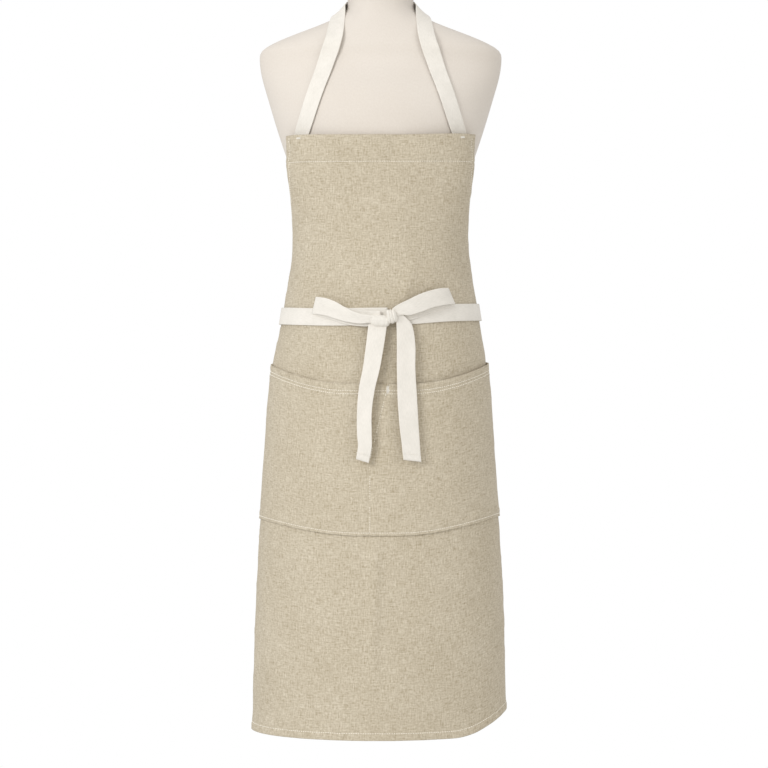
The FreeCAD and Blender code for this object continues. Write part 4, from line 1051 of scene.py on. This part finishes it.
# Each loop leaves the knot at the front, turns at its tip and comes back behind.
LEFT_FRONT = [(2, 329.5, 2, 316.5, 15, 13), (-15.8, 330.6, -14.4, 319.5, 16, 14),
              (-28.2, 332.4, -29.1, 318.5, 16.5, 14.5), (-40.5, 336.8, -44.8, 320.5, 17, 14.5),
              (-52.7, 342.9, -56, 323, 17, 13.5), (-63.6, 349.4, -66.1, 326, 16.5, 13),
              (-77.5, 355.0, -80, 330.5, 16, 12.5), (-90.0, 357.2, -95, 332.8, 14, 11)]
LEFT_TIP = [(-92.6, 357.4, -98.4, 333.2, 12, 9), (-92.4, 357.2, -98.2, 333, 10, 7)]
LEFT_REAR = [(-88, 355.5, -93, 331.5, 8.5, 6.2), (-66, 348.5, -70, 324.5, 8, 6.2),
             (-46, 341, -48, 317.5, 8, 6.2), (-24, 337.5, -24, 314.5, 8, 6.5), (0, 336.5, 0, 315.5, 9, 8)]
RIGHT_FRONT = [(16, 339, 20, 326, 14, 13), (24.3, 345.1, 30, 330.6, 15.5, 15),
               (39.7, 352.7, 42, 330.4, 16.5, 15), (55.2, 360.4, 60, 336.0, 17, 15),
               (70.5, 365.8, 76, 342.2, 17, 15),
               (84.0, 369.2, 92, 345.6, 16, 14), (94.0, 370.2, 104, 347.4, 13.5, 11.5)]
RIGHT_TIP = [(96.6, 370.0, 106.4, 347.4, 11.5, 9.5), (96.4, 369.6, 106, 347, 9.5, 7.5)]
RIGHT_REAR = [(92, 367.5, 101, 344.5, 8.2, 6.5), (74, 361, 80, 337.5, 8, 6.5), (52, 351, 56, 328, 8, 6.5),
              (34, 343, 36, 322, 8.5, 7), (20, 338, 20, 322, 9, 8)]
LOOPS = {"left": (LEFT_FRONT + LEFT_TIP + LEFT_REAR, 120, 0.0010, 0.45),
         "right": (RIGHT_FRONT + RIGHT_TIP + RIGHT_REAR, 110, 0.0008, 0.3)}
for side_name, shape in LOOPS.items():
    piece, length = loop_tape("bow_loop_" + side_name + "_tape", *shape)
    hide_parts("bow_loop_" + side_name)
    print("loop", side_name, round(length, 3), "m of tape")

# %% [markdown]
# ## The knot
# The knot is tape too, but so gathered and squeezed that it is a solid little bundle. Two padded bands make
# it: one wound round the loops, leaning a little, and one lower roll that comes out from under it towards
# the left. Folds that wander round each band keep them from looking like beads.

# %% The knot
BAND_ROUND, BAND_WIDE = 96, 61


def gathered_band(name, centre, across_axis, up_axis, half_sizes, folds, taper=0.0):
    """A band of gathered tape wound round an axis: flat along the axis, rounded at its two edges, with creases
    at given shares of its width that run round it and wander a little. Taper makes one end smaller."""
    half_wide, half_tall, half_deep = half_sizes
    round_turns = 2 * math.pi * np.arange(BAND_ROUND) / BAND_ROUND
    turn_grid, lean_grid = np.meshgrid(round_turns, np.sin(np.linspace(-1, 1, BAND_WIDE) * math.pi / 2))
    shell = np.sqrt(np.maximum(1 - np.abs(lean_grid) ** 5, 0)) * (1 - taper * lean_grid)
    relief = 1 + 0.03 * soft_noise(lean_grid * 3 + 9, turn_grid * 1.3)
    for place_across, depth, wander in folds:
        relief = relief - depth * bump(lean_grid, place_across + wander * np.sin(turn_grid + 0.6), 0.10)
    side = np.cross(across_axis, up_axis)
    points = (np.asarray(centre) + np.asarray(across_axis) * (half_wide * lean_grid)[..., None]
              + np.asarray(up_axis) * (half_tall * shell * relief * np.sin(turn_grid))[..., None]
              + side * (half_deep * shell * relief * np.cos(turn_grid))[..., None])
    uv = np.stack([lean_grid * half_wide + TAPE_WIDTH / 2, turn_grid * half_tall], -1)
    faces = grid_faces(BAND_WIDE, BAND_ROUND, around=True)
    piece = add_piece(name, points.reshape(-1, 3), faces, uv.reshape(-1, 2))
    shell_mesh = bmesh.new()
    shell_mesh.from_mesh(piece.data)
    bmesh.ops.remove_doubles(shell_mesh, verts=shell_mesh.verts, dist=1e-6)
    bmesh.ops.recalc_face_normals(shell_mesh, faces=shell_mesh.faces)
    shell_mesh.to_mesh(piece.data)
    shell_mesh.free()
    dress(piece, "bow_knot", tape_cotton)


def axes(slope):
    """The direction across a band that climbs by a slope, and the direction up it."""
    return unit(np.array([1.0, 0, slope])), unit(np.array([-slope, 0, 1.0]))


WRAP_FOLDS = ((-0.35, 0.13, 0.12), (0.28, 0.15, -0.10), (0.68, 0.08, 0.05))
ROLL_FOLDS = ((-0.55, 0.05, 0.1), (0.45, 0.06, 0.15))
WRAP_CENTRE = (0.0160, FRONT_Y - 0.0130, 0.3288)
ROLL_CENTRE = (-0.0004, FRONT_Y - 0.0115, 0.3224)
gathered_band("bow_knot_wrap", WRAP_CENTRE, *axes(0.20 / 0.97), (0.0074, 0.0104, 0.0082), WRAP_FOLDS, 0.06)
gathered_band("bow_knot_roll", ROLL_CENTRE, *axes(-0.05), (0.0144, 0.0083, 0.0074), ROLL_FOLDS, -0.04)
print("knot's bands at", [round(v, 4) for v in (*WRAP_CENTRE, *ROLL_CENTRE)])

# %% [markdown]
# ## The bow's tails
# The two free ends hang from the knot. Their ends are folded and stitched, and curl a little.

# %% The bow's tails
TAIL_ROWS, BEND_Z, BEND_ABOVE, BEND_BELOW, END_ROW = 90, 0.315, 0.006, 0.016, 0.955


def tail(side_name, stations, ripple_start):
    """A hanging end, its left edge given first, from the knot down."""
    name = "bow_tail_" + side_name + "_tape"
    left, right = edge_runs(stations, TAIL_ROWS)
    middles, across = (left + right) / 2, right - left
    out = unit(np.cross(across, -np.gradient(middles, axis=0)))
    share = np.linspace(0, 1, TAIL_ROWS)[:, None]
    end_hem = 0.0007 * ramp(share, END_ROW, END_ROW + 0.005) - 0.0003 * bump(share, END_ROW, 0.004)
    ripple = 0.0006 * soft_noise(share * 7 + ripple_start, profile[None, :] * 1.4 + 5)
    piece, length = tape_mesh(name, middles, unit(across), out, width=np.linalg.norm(across, axis=1),
                              relief=end_hem + ripple, body=None)
    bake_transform(piece)
    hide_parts("bow_tail_" + side_name)
    print(name, round(length, 3), "m")
    return middles, out, unit(across)


LEFT_TAIL = [(-17.5, 326, 9, 325, 9, 9), (-17.4, 316, 9, 315, 9.5, 9.5), (-20.5, 288, 5.0, 287.5, 12, 12.5),
             (-24.9, 255.2, -0.7, 254.8, 13, 14.5), (-30.6, 225.7, -8.0, 224.5, 13, 14),
             (-33.0, 195, -12.2, 193.5, 12, 14.5), (-33.2, 165, -12.2, 163, 12, 14),
             (-31.8, 146, -12.3, 142.5, 13, 12.5), (-34.6, 126.6, -16.8, 121.0, 16, 11)]
RIGHT_TAIL = [(21.0, 335, 28, 334, 14, 13), (22.0, 326, 37.5, 325.5, 13.5, 11.5),
              (22.6, 315, 45.4, 314.5, 12.5, 10.5), (23.2, 288, 49.4, 287.5, 13, 12),
              (23.2, 255, 49.4, 254.5, 13.5, 13), (24.2, 211.5, 51.8, 210.5, 14, 13.5),
              (26.6, 175, 53.9, 173.5, 14, 13), (30.2, 145, 56.0, 142, 14, 13),
              (32.0, 125.4, 57.2, 122.2, 15, 13)]
tail_runs = {"left": tail("left", LEFT_TAIL, 3), "right": tail("right", RIGHT_TAIL, 8)}

# %% [markdown]
# ## Bar tacks
# Where a tape or the divider takes a pull, a few dense stitches side by side hold it: a bar tack.

# %% Bar tacks
TACK_RADIUS = 0.0005


def tack_rows(across, height, out, wide, tall, count):
    """Short stitches side by side, all upright, filling a small block on the cloth."""
    rows = []
    for offset in np.linspace(-wide / 2, wide / 2, count):
        heights_here = np.array([height - tall / 2, height, height + tall / 2])
        places = np.full(3, across + offset)
        facing = cloth_out(places, heights_here)
        rows.append((cloth_point(places, heights_here, out), facing, tall, tall, TACK_RADIUS))
    return rows


STRAP_TACK_ACROSS, STRAP_TACK_HEIGHT, SUNK = 0.122, LENGTH - 0.005, 0.0001
strap_rows, tie_rows = [], []
for sign in (-1, 1):
    place = sign * STRAP_TACK_ACROSS
    face = float(panel_face(np.array([place]), np.array([STRAP_TACK_HEIGHT]))[0])
    strap_rows += tack_rows(place, STRAP_TACK_HEIGHT, face + SUNK, wide=0.006, tall=0.0032, count=7)
    tie_rows += tack_rows(sign * (SKIRT_HALF - TIE_LAP / 2), TIE_HEIGHT, TIE_OUT + OVER + TAPE,
                          wide=0.0022, tall=0.018, count=4)
add_stitches("strap_bar_tacks", "strap_tacks", strap_rows, tack_thread)
add_stitches("tie_bar_tacks", "tie_tacks", tie_rows, tack_thread)
divider_top = float(divider_across(np.array(POCKET_TOP)))
divider_face = float(pocket_faces(np.array([divider_top]), np.array([POCKET_TOP - 0.008]))[0][0])
divider_rows = tack_rows(divider_top, POCKET_TOP - 0.0085, divider_face + SUNK, wide=0.0042, tall=0.013,
                         count=5)
add_stitches("pocket_bar_tack", "pocket_tack", divider_rows, tack_thread)


def tail_end_row(middles, out, across):
    """A row of stitches across a tail, where its folded end stops."""
    spot = int(len(middles) * END_ROW)
    offsets = np.linspace(-0.0112, 0.0112, 12)[:, None]
    points = middles[spot] + across[spot] * offsets + out[spot] * (TAPE * 0.96 + 0.0002)
    return points, np.repeat(out[spot][None], len(offsets), axis=0), 0.0028, 0.0023, 0.0004


for side_name, tail_run in tail_runs.items():
    add_stitches("bow_tail_" + side_name + "_end_stitches", None, [tail_end_row(*tail_run)], tack_thread,
                 body=side_name + "_tail")

# %% [markdown]
# ## The hard parts
# The neck cap, base plate, socket, screws and knob keep their exact CAD shapes. They only need better
# finishes: turned beech, birch plywood, zinc-plated steel and moulded plastic, and rigid foam where the
# core shows beside the plate.

# %% Finishes of the hard parts
def wood_material(name, light, dark, stretch, roughness):
    """Grain drawn out along one direction, with pores four times finer for the relief."""
    made, tree, shader, place = start_finish(name, roughness, on_cloth=False, specular=0.45)
    set_colour(tree, shader, noise(tree, place, stretch, 5.0, 0.6), dark, light)
    set_bump(tree, shader, noise(tree, place, tuple(4 * value for value in stretch)), 0.0002, 0.35)
    return made


def metal_material(name, colour, roughness):
    """Zinc: one grey, a little duller in large crystals."""
    made, tree, shader, place = start_finish(name, roughness, on_cloth=False, metallic=1.0, specular=0.5)
    duller = tuple(0.82 * value for value in colour)
    set_colour(tree, shader, noise(tree, place, (160, 160, 160), 3.0), duller, colour)
    set_bump(tree, shader, noise(tree, place, (900, 900, 900)), 0.0001, 0.3)
    return made


def speckled_material(name, light, dark, scale, roughness, depth):
    """Fine specks, which are seen and felt alike."""
    made, tree, shader, place = start_finish(name, roughness, on_cloth=False, specular=0.4)
    specks = noise(tree, place, (scale, scale, scale), 4.0)
    set_colour(tree, shader, specks, dark, light)
    set_bump(tree, shader, specks, depth, 0.6)
    return made


FINISHES = {
    "neck_cap": wood_material("turned_beech", (0.62, 0.43, 0.26), (0.48, 0.31, 0.17), (40, 260, 60), 0.35),
    "base_plate": wood_material("birch_plywood", (0.70, 0.56, 0.38), (0.58, 0.44, 0.28), (30, 240, 800), 0.6),
    "pole_socket": metal_material("zinc_plated_steel", (0.66, 0.67, 0.69), 0.34),
    "socket_screws": metal_material("bright_screw_steel", (0.74, 0.74, 0.75), 0.28),
    "clamp_screw": speckled_material("black_moulded_plastic", (0.035, 0.035, 0.037), (0.018, 0.018, 0.02), 600,
                                     0.45, 0.0001),
}
foam = speckled_material("rigid_foam", (0.84, 0.79, 0.68), (0.70, 0.64, 0.52), 700, 0.9, 0.0004)
torso.data.materials.append(foam)
for node_name, finish in FINISHES.items():
    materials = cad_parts[node_name].data.materials
    for index in range(max(len(materials), 1)):
        if index < len(materials):
            materials[index] = finish
        else:
            materials.append(finish)
print("hard parts", sorted(FINISHES))

# %% [markdown]
# ## Floor
# The form would stand on its pole well above the ground, so the pale floor lies far below the hem.

# %% Floor
FLOOR_SIDES, FLOOR_RADIUS, FLOOR_Z = 96, 3.0, -0.95
floor_turns = 2 * math.pi * np.arange(FLOOR_SIDES) / FLOOR_SIDES
floor_points = np.stack([FLOOR_RADIUS * np.cos(floor_turns), FLOOR_RADIUS * np.sin(floor_turns),
                         np.full(FLOOR_SIDES, FLOOR_Z)], -1)
floor = add_piece("floor", floor_points, [list(range(FLOOR_SIDES))], body=None, smooth=False)
floor_finish, floor_shader = new_material("pale_floor", 0.9)
floor_shader.inputs["Base Color"].default_value = (0.86, 0.86, 0.85, 1)
floor.data.materials.append(floor_finish)
print("floor at z =", FLOOR_Z, "m")
